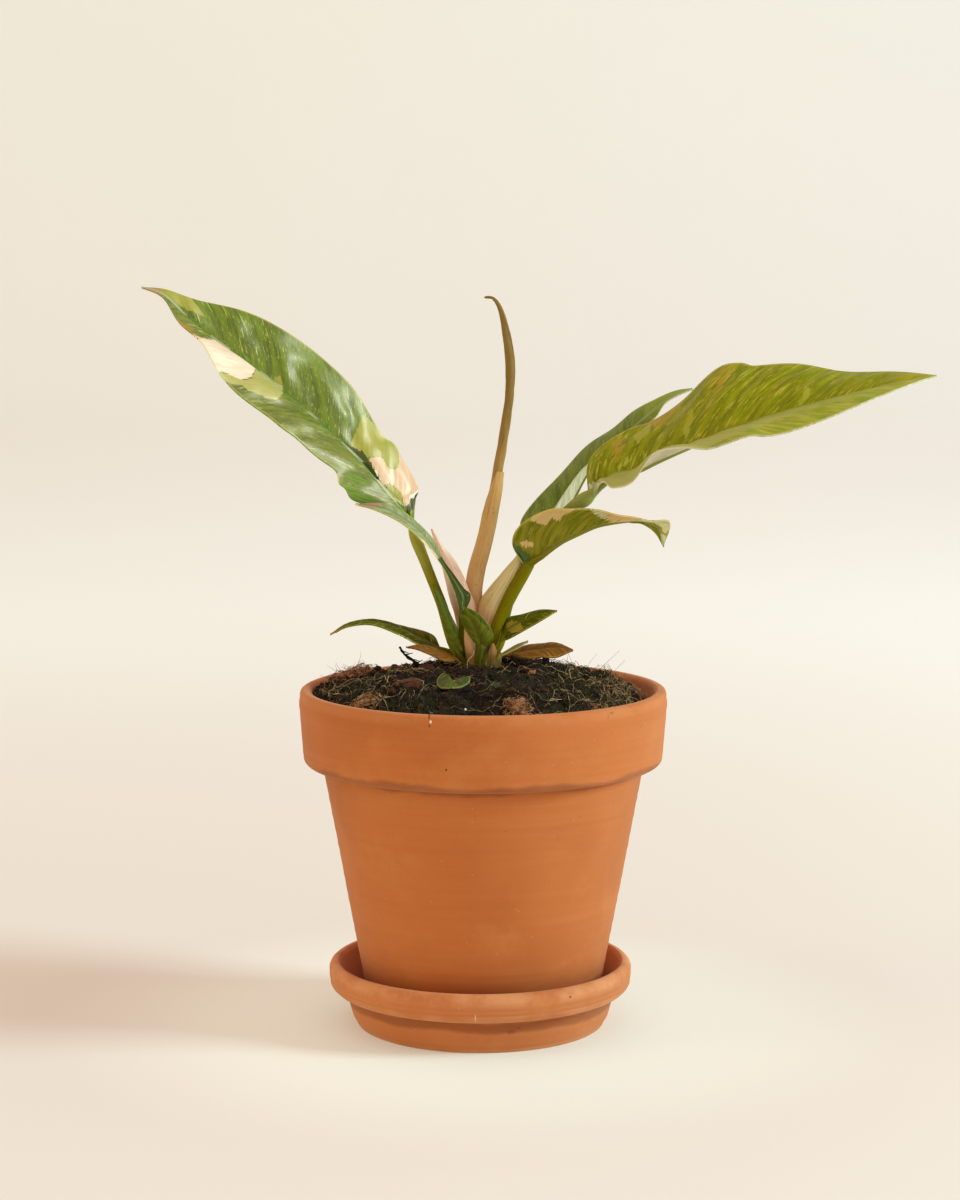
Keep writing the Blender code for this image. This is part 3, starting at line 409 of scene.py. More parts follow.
base_corner = (POT_BASE_RADIUS - POT_BASE_ROUND, POT_FOOT + POT_BASE_ROUND)
rim_foot = (RIM_RADIUS - RIM_TAPER - RIM_FOOT_ROUND, NECK_Z + RIM_FOOT_ROUND)
inner_lip = (pot_inside(RIM_TOP) + LIP_ROUND_INSIDE, RIM_TOP - LIP_ROUND_INSIDE)
turned("pot_turned", joined_up([
    [(DRAIN_RADIUS, POT_FOOT, 0.3)],
    arc(base_corner, POT_BASE_ROUND, -90, -8, 5, 0.6),
    arc((NECK_RADIUS + NECK_FILLET, NECK_Z - NECK_FILLET), NECK_FILLET, 180, 90, 5),
    arc(rim_foot, RIM_FOOT_ROUND, -90, 0, 9, 0.15),
    [(RIM_RADIUS - 0.1, STEP_Z - 0.7, 0.0)],
    [(RIM_RADIUS - 0.45, STEP_Z, 0.2)],
    arc((RIM_RADIUS - LIP_ROUND - 0.3, RIM_TOP - LIP_ROUND), LIP_ROUND, 12, 90, 9, 0.35),
    arc(inner_lip, LIP_ROUND_INSIDE, 90, 180, 6, 0.5),
    [(pot_inside(NECK_Z), NECK_Z, 0.0)],
    [(pot_inside(FLOOR_Z + FLOOR_COVE), FLOOR_Z + FLOOR_COVE, 0.0)],
    [(pot_inside(FLOOR_Z) - FLOOR_COVE, FLOOR_Z, 0.0)],
    [(DRAIN_RADIUS, FLOOR_Z, 0.0)]]), AXIS_X, POT_CLAY, 0.18, "pot_terracotta", "pot")

# %% [markdown]
# The saucer: a shallow dish with a thick rolled band. The band has a shallow groove above its
# lower edge, which the photograph shows as a darker line between two lighter ones.

# %% Saucer
SAUCER_FLOOR, SAUCER_BAND, SAUCER_LIP_ROUND, SAUCER_BAND_ROUND, SAUCER_LIP = 5.5, 11.2, 2.8, 4.2, 4.4
SAUCER_BASE_RADIUS, SAUCER_BASE_ROUND, SAUCER_SPREAD, SAUCER_FILLET = 47.5, 1.0, 3.8, 1.0
SAUCER_WALL, SAUCER_COVE, GROOVE = 3.5, 1.2, 0.15
band_z = SAUCER_TOP - SAUCER_BAND
waist = SAUCER_BASE_RADIUS + SAUCER_SPREAD
saucer_inside = SAUCER_BASE_RADIUS - SAUCER_WALL
band_foot = (SAUCER_RADIUS - SAUCER_LIP, band_z + SAUCER_BAND_ROUND)
band_edge = band_foot[0] + SAUCER_BAND_ROUND
saucer_lip = (SAUCER_RADIUS - SAUCER_LIP_ROUND, SAUCER_TOP - SAUCER_LIP_ROUND)
turned("saucer_turned", joined_up([
    [(0, 0, 0.0)],
    arc((SAUCER_BASE_RADIUS - SAUCER_BASE_ROUND, SAUCER_BASE_ROUND), SAUCER_BASE_ROUND, -90, -20, 5, 0.5),
    [(SAUCER_BASE_RADIUS + 0.4 * SAUCER_SPREAD, 3.4, 0.1)],
    [(SAUCER_BASE_RADIUS + 0.76 * SAUCER_SPREAD, 7.8, 0.1)],
    arc((waist + SAUCER_FILLET, band_z - SAUCER_FILLET), SAUCER_FILLET, 180, 90, 5),
    arc(band_foot, SAUCER_BAND_ROUND, -90, -18, 9, 0.5),
    [(band_edge - GROOVE, band_z + 3.7, 0.0)],
    [(band_edge, band_z + 4.4, 0.3)],
    [(band_edge + 0.1, band_z + 5.8, 0.1)],
    arc(saucer_lip, SAUCER_LIP_ROUND, 5, 105, 12, 0.9),
    [(waist - SAUCER_WALL, band_z, 0.1)],
    [(saucer_inside + SAUCER_COVE + 0.01, SAUCER_FLOOR + SAUCER_COVE, 0.0)],
    [(saucer_inside, SAUCER_FLOOR, 0.0)],
    [(0, SAUCER_FLOOR, 0.0)]]), 0.0, SAUCER_CLAY, 0.22, "saucer_terracotta", "saucer")

# %% [markdown]
# Leaves, stalks and sheaths are all drawn as stations, points listed along a midrib, a margin or an
# axis. A smooth curve through the stations gives as many points as the fine mesh wants, so the
# form stays the CAD model's and only gets smoother.

# %% Curves through stations


def smooth_line(stations, count):
    """Reads count points from a smooth curve through the given stations."""
    knots = np.asarray(stations, float)
    slopes = np.gradient(knots, axis=0)
    at = np.linspace(0, len(knots) - 1, count)
    first = np.minimum(at.astype(int), len(knots) - 2)
    t = (at - first)[:, None]
    a, b = knots[first], knots[first + 1]
    m, n = slopes[first], slopes[first + 1]
    return ((2 * t**3 - 3 * t**2 + 1) * a + (t**3 - 2 * t**2 + t) * m
            + (3 * t**2 - 2 * t**3) * b + (t**3 - t**2) * n)


def unit(vectors):
    return vectors / np.maximum(np.linalg.norm(vectors, axis=-1, keepdims=True), 1e-9)


def lengths(path):
    """Distance along a path at each of its points."""
    return np.concatenate([[0.0], np.cumsum(np.linalg.norm(np.diff(path, axis=0), axis=1))])


def frames_along(path, hint):
    """Heading, side and upward directions square to a path, turning as little as they can."""
    along = unit(np.gradient(path, axis=0))
    side = np.zeros_like(path)
    last = np.asarray(hint, float)
    for k, heading in enumerate(along):
        last = last - heading * np.dot(last, heading)
        last = last / np.linalg.norm(last)
        side[k] = last
    return along, side, np.cross(along, side)


def laid_sheet(bm, points, marks):
    """A grid whose points are laid at the given places in mm; marks are values for each point."""
    rows, columns = points.shape[0] - 1, points.shape[1] - 1
    before = set(bm.faces)
    grid = bmesh.ops.create_grid(bm, x_segments=columns, y_segments=rows, size=0.5)
    for vert in grid["verts"]:
        spot = (round((vert.co.y + 0.5) * rows), round((vert.co.x + 0.5) * columns))
        vert.co = Vector(points[spot]) * MM
        for layer, values in marks:
            vert[layer] = values[spot]
    return [face for face in bm.faces if face not in before]


def thickened(bm, faces, thickness, under_index):
    """Gives a sheet its thickness below and marks the new underside and its edge."""
    known = set(bm.faces)
    bmesh.ops.solidify(bm, geom=faces, thickness=thickness * MM)
    for face in bm.faces:
        if face not in known:
            face.material_index = under_index


def stalk(bm, path, widths, heights, hint, place_layer, start, index, sides):
    """Extrudes a ring along a path of points in mm; its points carry their distance along it."""
    _, side, up = frames_along(path, hint)
    along = unit(np.gradient(path, axis=0))
    far = lengths(path) + start
    known = set(bm.faces)

    def stand(k):
        turn = Matrix((side[k] * widths[k], up[k] * heights[k], along[k])).transposed().to_4x4()
        return Matrix.Translation(Vector(path[k])) @ turn

    ring = bmesh.ops.create_circle(bm, cap_ends=True, segments=sides, radius=1.0)["verts"]
    around = [math.atan2(vert.co.y, vert.co.x) for vert in ring]
    shape = [vert.co.copy() for vert in ring]
    for k in range(len(path)):
        if k:
            edges = list({edge for vert in ring for edge in vert.link_edges
                          if all(end in ring for end in edge.verts)})
            made = bmesh.ops.extrude_edge_only(bm, edges=edges)["geom"]
            fresh = {link.other_vert(vert): vert for vert in made if isinstance(vert, bmesh.types.BMVert)
                     for link in vert.link_edges if link.other_vert(vert) in ring}
            ring = [fresh[vert] for vert in ring]
        for vert, spot, angle in zip(ring, shape, around):
            vert.co = stand(k) @ spot * MM
            vert[place_layer] = (far[k], angle * widths[k], math.sin(angle))
    bm.faces.new(ring)
    shell = [face for face in bm.faces if face not in known]
    bmesh.ops.recalc_face_normals(bm, faces=shell)
    for face in shell:
        face.material_index = index


# %% [markdown]
# A ring of fire blade is green with cream, lime and rusty streaks, and each streak follows the
# side veins. The mesh says where every point lies along and across the blade in millimetres,
# and where its side vein leaves the midrib. It carries one field for each kind of patch, so
# colours stay on the leaf however it bends. The upper face is satin with a pale midrib; the
# underside is paler and dull.

# %% Leaf finishes
# how torn the edge of each kind of patch is, and the level it must reach to show
PATCHES = {"lime": (0.9, 0.5), "cream": (0.6, 0.5), "rust": (3.4, 0.85), "deep": (0.9, 0.5)}
# each kind's shade on the left and on the right half; the left leaf's cream is paler on its lower half,
# painted light that makes up for the smaller share of light that half gets
SHADES = {"lime": ("#b6ad62", "#989628"), "cream": ("#fddabc", "#d8ae84"), "rust": ("#b8761c", "#b09a2a"),
          "deep": ("#34480a", "#2f4208")}
UNDER_SHADES = {**SHADES, "lime": ("#b6bd84", "#c2c690"), "cream": ("#efe0c0", "#f2e2c8")}
WARM_GLOSS = (1.0, 0.66, 0.52, 1.0)
MARGIN_YELLOW = "#c9b860"


class LeafFinish(Finish):
    """A finish that knows the blade's own directions; each seed gives another leaf's pattern."""

    def __init__(self, name, rough, gloss, seed):
        super().__init__(name, rough, Specular_IOR_Level=gloss, Specular_Tint=WARM_GLOSS)
        self.seed = seed
        self.vein = self.mark("vein")
        self.along, self.across, self.edge = self.split(self.mark("place"))

    def veins(self, fast, slow, shift=0.0):
        """Noise that changes fast from vein to vein and slowly along them."""
        return self.use(VEIN_CLOUD, Vein=self.vein, Fast=fast, Slow=slow, Seed=self.seed + shift)

    def half(self):
        """0 on the left half and 1 on the right."""
        return self.rise(self.edge, -0.04, 0.04)

    def patched(self, colour, shades, torn):
        """Lays each kind of patch over a colour; a kind has a shade for each half."""
        for kind, (ragged, level) in PATCHES.items():
            mask = self.use(RAGGED_PATCH, Field=self.mark(kind, "Fac"), Vein=self.vein,
                            Ragged=ragged * torn, Level=level, Seed=self.seed)
            drift = self.rise(self.veins(0.5, 0.12, 5.0), 0.4, 0.62)
            which = self.scaled(drift, 0.3, self.times(self.half(), 0.7))
            colour = self.mix(mask, colour, self.mix(which, *shades[kind]))
        return colour

    def tipped(self, colour, tip):
        """Another colour from one distance along the blade to the next, up to its tip."""
        return self.mix(self.rise(self.along, tip[0], tip[1]), colour, tip[2]) if tip else colour


def blade_finish(name, greens, streaks, seed, other=None, sheen_flecks=0.5, streak_level=0.66, sheen="#9fae6c",
                 shades=None, rib="#a3b283", rough=0.42, tip=None, torn=1.0, gloss=0.4):
    """The satin upper face; greens are dark and light, and other is for the right half."""
    w = LeafFinish(name, rough, gloss, seed)
    broad = w.rise(w.veins(0.34, 0.09), 0.36, 0.64)
    colour = w.mix(w.half(), w.mix(broad, *greens), w.mix(broad, *(other or greens)))
    fine = w.veins(2.4, 0.4, 2.0)
    # painted sheen: fine pale flecks along the veins, in the sheen colour, stand in for the satin face's
    # silvery shine
    colour = w.lay(colour, w.rise(fine, 0.5, 0.68), sheen_flecks, sheen)
    streak = w.mix(w.rise(w.veins(0.11, 0.08, 7.0), 0.44, 0.56), *streaks)
    colour = w.lay(colour, w.rise(w.veins(2.0, 0.5, 9.0), 0.61, 0.68), 0.7, streak)
    long = w.rise(w.veins(0.75, 0.14, 4.0), streak_level - 0.03, streak_level + 0.03)
    colour = w.lay(colour, long, 0.8, streak)
    colour = w.tipped(w.patched(colour, {**SHADES, **(shades or {})}, torn), tip)
    colour = w.lay(colour, w.rise(w.math("ABSOLUTE", w.across), 0.85, 0.4), 0.8, rib)
    colour = w.lay(colour, w.rise(w.math("ABSOLUTE", w.edge), 0.955, 0.99), 0.5, MARGIN_YELLOW)
    w.feed(w.surface["Roughness"], w.scaled(fine, 0.12, rough - 0.06))
    return w.done(colour, fine, 0.2, 0.0002)


def underside_finish(name, dark, light, seed, shades=None, tip=None):
    """The paler, duller lower face of a blade and its edge."""
    w = LeafFinish(name, 0.55, 0.2, seed)
    colour = w.mix(w.rise(w.veins(0.6, 0.1), 0.36, 0.64), dark, light)
    colour = w.tipped(w.patched(colour, {**UNDER_SHADES, **(shades or {})}, 1.0), tip)
    return w.done(colour, w.veins(2.4, 0.4), 0.5, 0.0002)


def fibrous_finish(name, low, high, turn_at, dark, seed, rough=0.45, fine=2.6):
    """A stalk or sheath: one colour low down, another beyond turn_at mm, and lengthwise lines."""
    w = Finish(name, rough, Specular_IOR_Level=0.06, Specular_Tint=WARM_GLOSS)
    place = w.mark("place")
    along, across, _ = w.split(place)
    drift = w.scaled(w.cloud(place, 0.15), 12.0, w.math("SUBTRACT", along, 6.0))
    shade = w.use(FIBRE_LINES, Place=place, Fine=fine, Seed=seed)
    colour = w.mix(w.rise(drift, *turn_at), low, high)
    colour = w.lay(colour, w.rise(shade, 0.5, 0.75), 0.6, dark)
    spots = w.cloud(w.join(w.times(along, 0.5), across, seed), 1.2, 3.0)
    colour = w.lay(colour, w.rise(spots, 0.62, 0.72), 0.4, dark)
    return w.done(colour, shade, 0.5, 0.0003)


# %% [markdown]
# A blade is a grid laid between the midrib and the two margins, one row for each step to the
# tip. Its halves are slightly bellied, their edges wave, and the face is puffed between the side
# veins and sunk along the midrib. It then gets its thickness, and a tapering midrib that grows
# out of the petiole runs below it to the tip.

# %% Blades
SHEET = 0.6            # a blade's thickness in mm
TIP_HALF_WIDTH = 0.35
RIB_GROOVE = 0.35
FINE_VEIN, FINE_VEIN_STEP = 0.05, 2.3
PATCH_EDGE = 2.6       # mm over which a patch's field falls from 1 to 0


def patch_field(patches, grid, edge):
    """1 inside the outlines, 0 outside and 0.5 on them; a patch is (side of the midrib, outline)."""
    seen = grid[..., (0, 2)]
    field = np.zeros(seen.shape[:2])
    for side, outline in patches:
        corners = np.array(outline, float)
        nearest = np.full(field.shape, np.inf)
        inside = np.zeros(field.shape, bool)
        for start, end in zip(corners, np.roll(corners, -1, axis=0)):
            run = end - start
            share = np.clip((seen - start) @ run / (run @ run), 0, 1)
            nearest = np.minimum(nearest, np.linalg.norm(seen - start - share[..., None] * run, axis=-1))
            passes = (start[1] > seen[..., 1]) != (end[1] > seen[..., 1])
            level = start[0] + (seen[..., 1] - start[1]) * run[0] / (run[1] or 1e-6)
            inside ^= passes & (seen[..., 0] < level)
        depth = np.where(inside, nearest, -nearest)
        own_side = edge * side > -0.03
        field = np.maximum(field, np.clip(0.5 + depth / PATCH_EDGE, 0, 1) * own_side)
    return field


def half_blade(rib, margin, along, sign, belly, wave, share):
    """The points of one half of a blade, as a function of the share from rib to margin."""
    reach = margin - rib
    wide = np.linalg.norm(reach, axis=1, keepdims=True)
    face = unit(np.cross(along, reach) * sign)
    height, count, phase = wave
    lift = height * np.sin(2 * math.pi * (count * share + phase)) * np.sin(math.pi * share)
    return lambda u: rib + reach * u + face * (belly * wide * math.sin(math.pi * u) + lift * u * u)


def to_the_tip(margin, rib, stations):
    """A margin that runs out in the midrib's last point, and its smooth curve."""
    curve = smooth_line([*margin, rib[-1]], stations)
    last = unit(curve[-2] - smooth_line(rib, stations)[-2]) * TIP_HALF_WIDTH
    curve[-1] += last
    return curve


def ruffled(margin, rib, lobes):
    """Pushes a margin out (or in); a lobe is (share of the stations passed, height in mm, width)."""
    out = unit(margin - rib)
    passed = np.linspace(0, 1, len(rib))[:, None]
    return margin + out * sum(high * np.exp(-((passed - at) / wide)**2) for at, high, wide in lobes)


def leaf(node, slot, finishes, rib, left, right, petiole, rows, columns, belly=0.07,
         wave=(0.0, 3, 0.0), keel=0.9, puff=0.4, vein_step=13.0, patches=(), slant=(1.0, 1.0),
         lobes=((), ()), stalk_sides=14, seed=0.0):
    """A blade grown in one piece with its petiole; stations are millimetres, base first.

    slant is how far a side vein runs towards the tip for each step outwards, at base and tip;
    lobes are small bulges of the left and right margins. A patch is its kind, the half it lies
    on (-1 left, 1 right, 0 both) and its outline as seen from the front, across and up.
    """
    left, right = (to_the_tip(margin, rib, rows + 1) for margin in (left, right))
    rib = smooth_line(rib, rows + 1)
    left, right = ruffled(left, rib, lobes[0]), ruffled(right, rib, lobes[1])
    along = unit(np.gradient(rib, axis=0))
    share = np.linspace(0, 1, rows + 1)[:, None]
    height, count, phase = wave
    one = half_blade(rib, left, along, 1, belly, wave, share)
    other = half_blade(rib, right, along, -1, belly, (height, count, phase + 0.35), share)
    edge = np.linspace(-1, 1, columns + 1)
    grid = np.stack([one(-u) if u < 0 else other(u) for u in edge], axis=1)
    face = unit(np.cross(np.gradient(grid, axis=1), np.gradient(grid, axis=0)))
    face[-1] = face[-2]
    half = np.where(edge < 0, np.linalg.norm(left - rib, axis=1)[:, None],
                    np.linalg.norm(right - rib, axis=1)[:, None])
    across = edge * half
    far = np.repeat(lengths(rib)[:, None], columns + 1, axis=1)
    leaning = slant[0] + (slant[1] - slant[0]) * share
    origin = far - leaning * np.abs(across)
    body = np.sin(math.pi * np.abs(edge))**0.8 * np.minimum(1, half / 9)
    rumple = np.array([[noise.noise((far[a, b] * 0.09, across[a, b] * 0.12, seed))
                        for b in range(columns + 1)] for a in range(rows + 1)])
    quilt = puff * (np.sin(2 * math.pi * origin / vein_step + 2 * rumple) + 0.6 * rumple) * body
    veins = FINE_VEIN * np.sin(2 * math.pi * origin / FINE_VEIN_STEP) * body
    groove = -RIB_GROOVE * np.exp(-(across / 0.9)**2) * np.minimum(1, half / 4)
    grid = grid + face * (quilt + veins + groove + SHEET / 2)[..., None]
    bm = bmesh.new()
    place = bm.verts.layers.float_vector.new("place")
    vein = bm.verts.layers.float_vector.new("vein")
    whole_edge = np.broadcast_to(edge, far.shape)
    marks = [(place, np.stack([far, across, whole_edge], axis=-1)),
             (vein, np.stack([origin, np.abs(across), 30 * np.sign(whole_edge)], axis=-1))]
    for kind in PATCHES:
        outlines = [(side, outline) for own, side, outline in patches if own == kind]
        marks.append((bm.verts.layers.float.new(kind), patch_field(outlines, grid, whole_edge)))
    faces = laid_sheet(bm, grid, marks)
    thickened(bm, faces, SHEET, 1)
    add_midrib(bm, rib, face[:, columns // 2], petiole, right[0] - left[0], keel, place, stalk_sides)
    settle(node + "_blade", bm, finishes, 60, slot, node)
    print("the blade is", round(float(lengths(rib)[-1])), "mm long")


def add_midrib(bm, rib, face, petiole, hint, keel, place, sides):
    """The petiole and the midrib it grows into, as one tapering stalk below the blade."""
    foot = smooth_line(petiole, 4 * len(petiole))
    far = lengths(rib)
    steps = np.unique(np.linspace(1, 0.94 * len(rib), max(12, len(rib) // 3)).astype(int))
    taper = (1 - far / far[-1])**0.8 * (0.45 + 0.55 * np.exp(-far / 9.0)) * (0.5 + 0.5 * keel)
    radius = np.maximum(0.22, foot[-1, 3] * taper)
    drop = (radius * 0.75 + 0.25) * np.clip(far / 6.0, 0, 1)
    under = (rib - face * drop[:, None])[steps]
    path = np.concatenate([foot[:, :3], under])
    radii = np.concatenate([foot[:, 3], radius[steps]])
    stalk(bm, path, radii, radii * 0.95, hint, place, -lengths(foot[:, :3])[-1], 2, sides)


# %% [markdown]
# The left leaf is the large one with the cream and lime patches. It is folded in a shallow V:
# the upper half leans back and the lower half faces the viewer. Each patch has its kind, the half
# it lies on (-1 lower, 1 upper) and its outline from the front, across and up in millimetres.

# %% Left leaf
STALK_GREEN = fibrous_finish("stalk_green", "#7d6d14", "#74720c", (-34.0, -10.0), "#4a4606", 1.0)
STALK_PALE = fibrous_finish("stalk_pale", "#8a8010", "#a6a444", (-26.0, -8.0), "#5e6012", 2.0)
LEFT_TOP = blade_finish("left_leaf_top", ("#55630e", "#717c28"), ("#a9b545", "#cfcc7c"), 3.0,
                        other=("#48600a", "#667f12"), sheen_flecks=0.4, sheen="#869438",
                        tip=(125.0, 131.0, "#b08458"), gloss=0.85, rough=0.38,
                        shades={"rust": ("#8f7a20", "#9c8a28")})
LEFT_UNDER = underside_finish("left_leaf_under", "#5f7a2a", "#7d9440", 3.0,
                              tip=(125.0, 131.0, "#b08458"))
leaf(
    "leaf_left", "leaf_variegated", [LEFT_TOP, LEFT_UNDER, STALK_PALE],
    rib=[(-25.5, -6, 192.5), (-29.5, -8, 198.5), (-34, -10, 204), (-39, -11, 210), (-44, -13, 216),
         (-49.5, -14, 221.5), (-62.5, -17, 234), (-73.5, -19, 243.5), (-85.5, -21, 253.5),
         (-97.5, -23, 262), (-107, -25, 270), (-115.2, -26.6, 278), (-123.5, -27, 281)],
    left=[(-28, -8, 192.5), (-35.5, -12, 197.5), (-42.5, -15, 201), (-48.5, -20, 204), (-51, -24, 209),
          (-54, -27, 215), (-63.5, -31, 223), (-72.5, -33, 230), (-82.5, -35, 238.5), (-92.5, -36, 248),
          (-101, -34.5, 260), (-109.3, -32, 268), (-115.5, -28.4, 277.4)],
    right=[(-25.5, -4, 195), (-24.5, -1, 202), (-24, 0, 206), (-29, -1, 215), (-32, -1.5, 222),
           (-38.5, -3, 227), (-48, -6, 243.5), (-59.5, -9, 255.5), (-72.5, -12, 264.5),
           (-87.5, -15, 272), (-104.5, -20, 276.5), (-115, -25, 280)],
    petiole=[(-2.5, -0.5, 138, 2.4), (-6.6, -1, 141, 2.5), (-10.5, -2, 147.5, 2.4),
             (-14.5, -3, 161, 2.1), (-17.5, -4, 169, 2.0), (-21.1, -5, 178.5, 2.1),
             (-24.3, -5.8, 187, 2.4), (-25.5, -6, 192.5, 1.9)],
    rows=170, columns=44, wave=(0.9, 4, 0.1), slant=(1.0, 1.25), puff=0.55, vein_step=21.0, seed=3.0,
    lobes=([(0.325, 2.0, 0.03), (0.39, -0.8, 0.03), (0.54, 0.8, 0.03), (0.729, 0.9, 0.03)], []),
    patches=[
        ("cream", -1, [(-111, 268), (-107.7, 266.4), (-101.9, 263), (-92, 260), (-87, 256),
                       (-82.5, 251.5), (-84, 248), (-87, 247.5), (-91, 249.5), (-96, 251), (-99, 254),
                       (-104, 259)]),
        ("cream", 1, [(-42, 217.5), (-39, 218), (-36.5, 217.5), (-35, 214), (-32, 212.5), (-30.5, 215),
                      (-31, 220), (-27, 216), (-22, 207), (-24, 203), (-27, 199), (-29, 200),
                      (-29.5, 204.5), (-34, 208), (-36.5, 207), (-38.5, 211)]),
        ("lime", -1, [(-82.5, 251.5), (-79, 249), (-72.5, 243), (-73.5, 241), (-75, 240), (-79.5, 241.5),
                      (-84, 243.5), (-88, 246), (-91, 246.5), (-97, 249), (-95, 251.5), (-87, 247.5),
                      (-84, 248)]),
        ("lime", 1, [(-76.5, 248), (-74, 248.5), (-72.5, 244.5), (-74.5, 243)]),
        ("lime", 1, [(-66, 235.5), (-63.5, 236), (-60.5, 231.5), (-63, 232)]),
        ("lime", 1, [(-121, 281), (-114, 281), (-106, 277), (-100.5, 270), (-107.5, 273),
                     (-114.5, 276.5)]),
        ("lime", 1, [(-44, 233.5), (-41, 231), (-37, 227), (-33, 225), (-29, 221), (-30, 214.5),
                     (-32, 212), (-35, 214), (-36.5, 217.5), (-39, 218), (-42, 217.5), (-45.5, 220),
                     (-49, 222.5), (-46, 228)]),
        ("lime", 1, [(-36.5, 207), (-34, 208), (-29.5, 204.5), (-28.5, 199.5), (-33, 203)]),
        ("rust", -1, [(-112, 271), (-108.5, 269), (-104, 267), (-101, 262.5), (-105, 263.5),
                      (-110, 266)]),
        ("deep", 1, [(-22, 206), (-24, 201), (-26.5, 196), (-28, 197.5), (-26, 202)]),
        ("deep", 1, [(-52, 225), (-49.2, 222.5), (-43.8, 220), (-41.5, 217), (-39, 213), (-37, 208),
                     (-34.5, 206), (-36, 204), (-44.5, 214), (-50, 220)])])

# %% [markdown]
# The right leaf reaches out nearly level. Its far half stands up and faces the viewer, its near
# half lies flat, and at the base both wave strongly, so the pale underside shows.

# %% Right leaf
RIGHT_TOP = blade_finish("right_leaf_top", ("#727a02", "#8f9502"), ("#cbb040", "#bcb848"), 17.0,
                         other=("#86980e", "#a6ae34"), sheen_flecks=0.35, streak_level=0.61, sheen="#a19c20",
                         rib="#a4ae5c", tip=(112.0, 142.0, "#a69a2c"), gloss=0.2,
                         shades={"rust": ("#ab902e", "#b5a334"), "lime": ("#a3a42c", "#b0ae5c"),
                                 "deep": ("#a3a840", "#a9ac54")})
RIGHT_UNDER = underside_finish("right_leaf_under", "#b2b484", "#d6d0ae", 17.0,
                               shades={"deep": ("#b2b484", "#d6d0ae")})
STALK_OLIVE = fibrous_finish("stalk_olive", "#7c7206", "#8d8a34", (-6.0, 22.0), "#4a3f04", 4.0)
STALK_KNUCKLE = fibrous_finish("stalk_knuckle", "#6f6208", "#9aa052", (-16.0, -9.0), "#5c5a1c", 5.0)
leaf(
    "leaf_right", "leaf_variegated", [RIGHT_TOP, RIGHT_UNDER, STALK_KNUCKLE],
    rib=[(42.5, 6, 203), (45.5, 4, 207), (50.5, 1.5, 210.5), (59, -1, 212.5), (66, -3.5, 216),
         (74.5, -6, 220), (83.5, -8, 224), (90.5, -10, 227), (98, -11, 229.5), (106, -12.5, 232.5),
         (119, -15, 236.5), (135, -17.5, 241), (152.5, -19.5, 245.5), (168, -20, 248.5)],
    left=[(41, 8, 204), (41, 10, 214), (46, 12, 220.5), (56, 14, 226), (64.5, 14, 229.5),
          (76, 14, 237.5), (85.5, 13, 245.5), (92.5, 11.5, 251), (98, 10, 252.5), (105.5, 8, 251),
          (120.5, 4, 251.5), (136.5, -2, 249.5), (154, -11, 249.5)],
    right=[(43.5, 3, 203), (45.5, -8, 208.5), (49.5, -15, 206.5), (56, -20, 209.5), (63.5, -21, 220),
           (72.5, -24, 221.5), (82, -28, 222), (89.5, -31, 225), (97.5, -33, 226.5), (105.5, -34.5, 227),
           (118.5, -35.5, 231.5), (134.5, -34, 237), (153, -29, 244)],
    petiole=[(3.5, 2.8, 139, 2.0), (6.3, 4.9, 144, 2.0), (8.8, 7.2, 153, 1.9), (12, 9.5, 164, 1.8),
             (17.5, 11, 177, 1.7), (26, 11, 189.5, 1.6), (34.5, 9, 197.8, 1.7), (39.2, 7, 200.3, 3.0),
             (42.5, 6, 203, 2.0)],
    rows=180, columns=48, wave=(0.9, 4, 0.3), puff=0.35, slant=(0.5, 1.4), seed=17.0,
    lobes=([(0.67, -0.5, 0.02)], [(0.965, -0.9, 0.02)]),
    patches=[
        ("rust", -1, [(49.5, 220), (51, 223.5), (54.5, 224.5), (55.5, 221.5), (54.5, 217.5), (52, 214),
                      (50, 216)]),
        ("rust", -1, [(65, 230.5), (71, 235), (77.5, 238.5), (76.5, 234), (69, 228.5), (65, 226.5)]),
        ("rust", -1, [(87.5, 241), (88.5, 245), (90, 250), (94, 252), (99.5, 251.5), (95, 248),
                      (92.5, 245), (89.5, 241.5), (85.5, 235), (84, 235.5)]),
        ("lime", -1, [(58, 224.5), (65, 229.5), (64, 226), (61.5, 224), (59.5, 221.5)]),
        ("lime", -1, [(79, 234.5), (80.5, 236), (79.5, 230.5), (78, 226), (77, 222.5), (76, 228)]),
        ("lime", -1, [(119.5, 241), (121, 244.5), (122.5, 243.5), (121.5, 240), (119.5, 238)]),
        ("deep", 1, [(44, 200), (44, 212), (60, 222), (82, 226), (94.5, 230), (107, 233.5),
                     (118.5, 237.5), (132, 241.5), (145.5, 245.5), (144, 243.8), (131, 240),
                     (118, 235.6), (106, 231.4), (94, 227.8), (84, 223), (72, 219), (60, 204)])])

# %% [markdown]
# Behind the right leaf stands a darker one, folded lengthwise, and in front of both a leaf that
# is still curled, with a tan strip where it was scorched and a hooked tip.

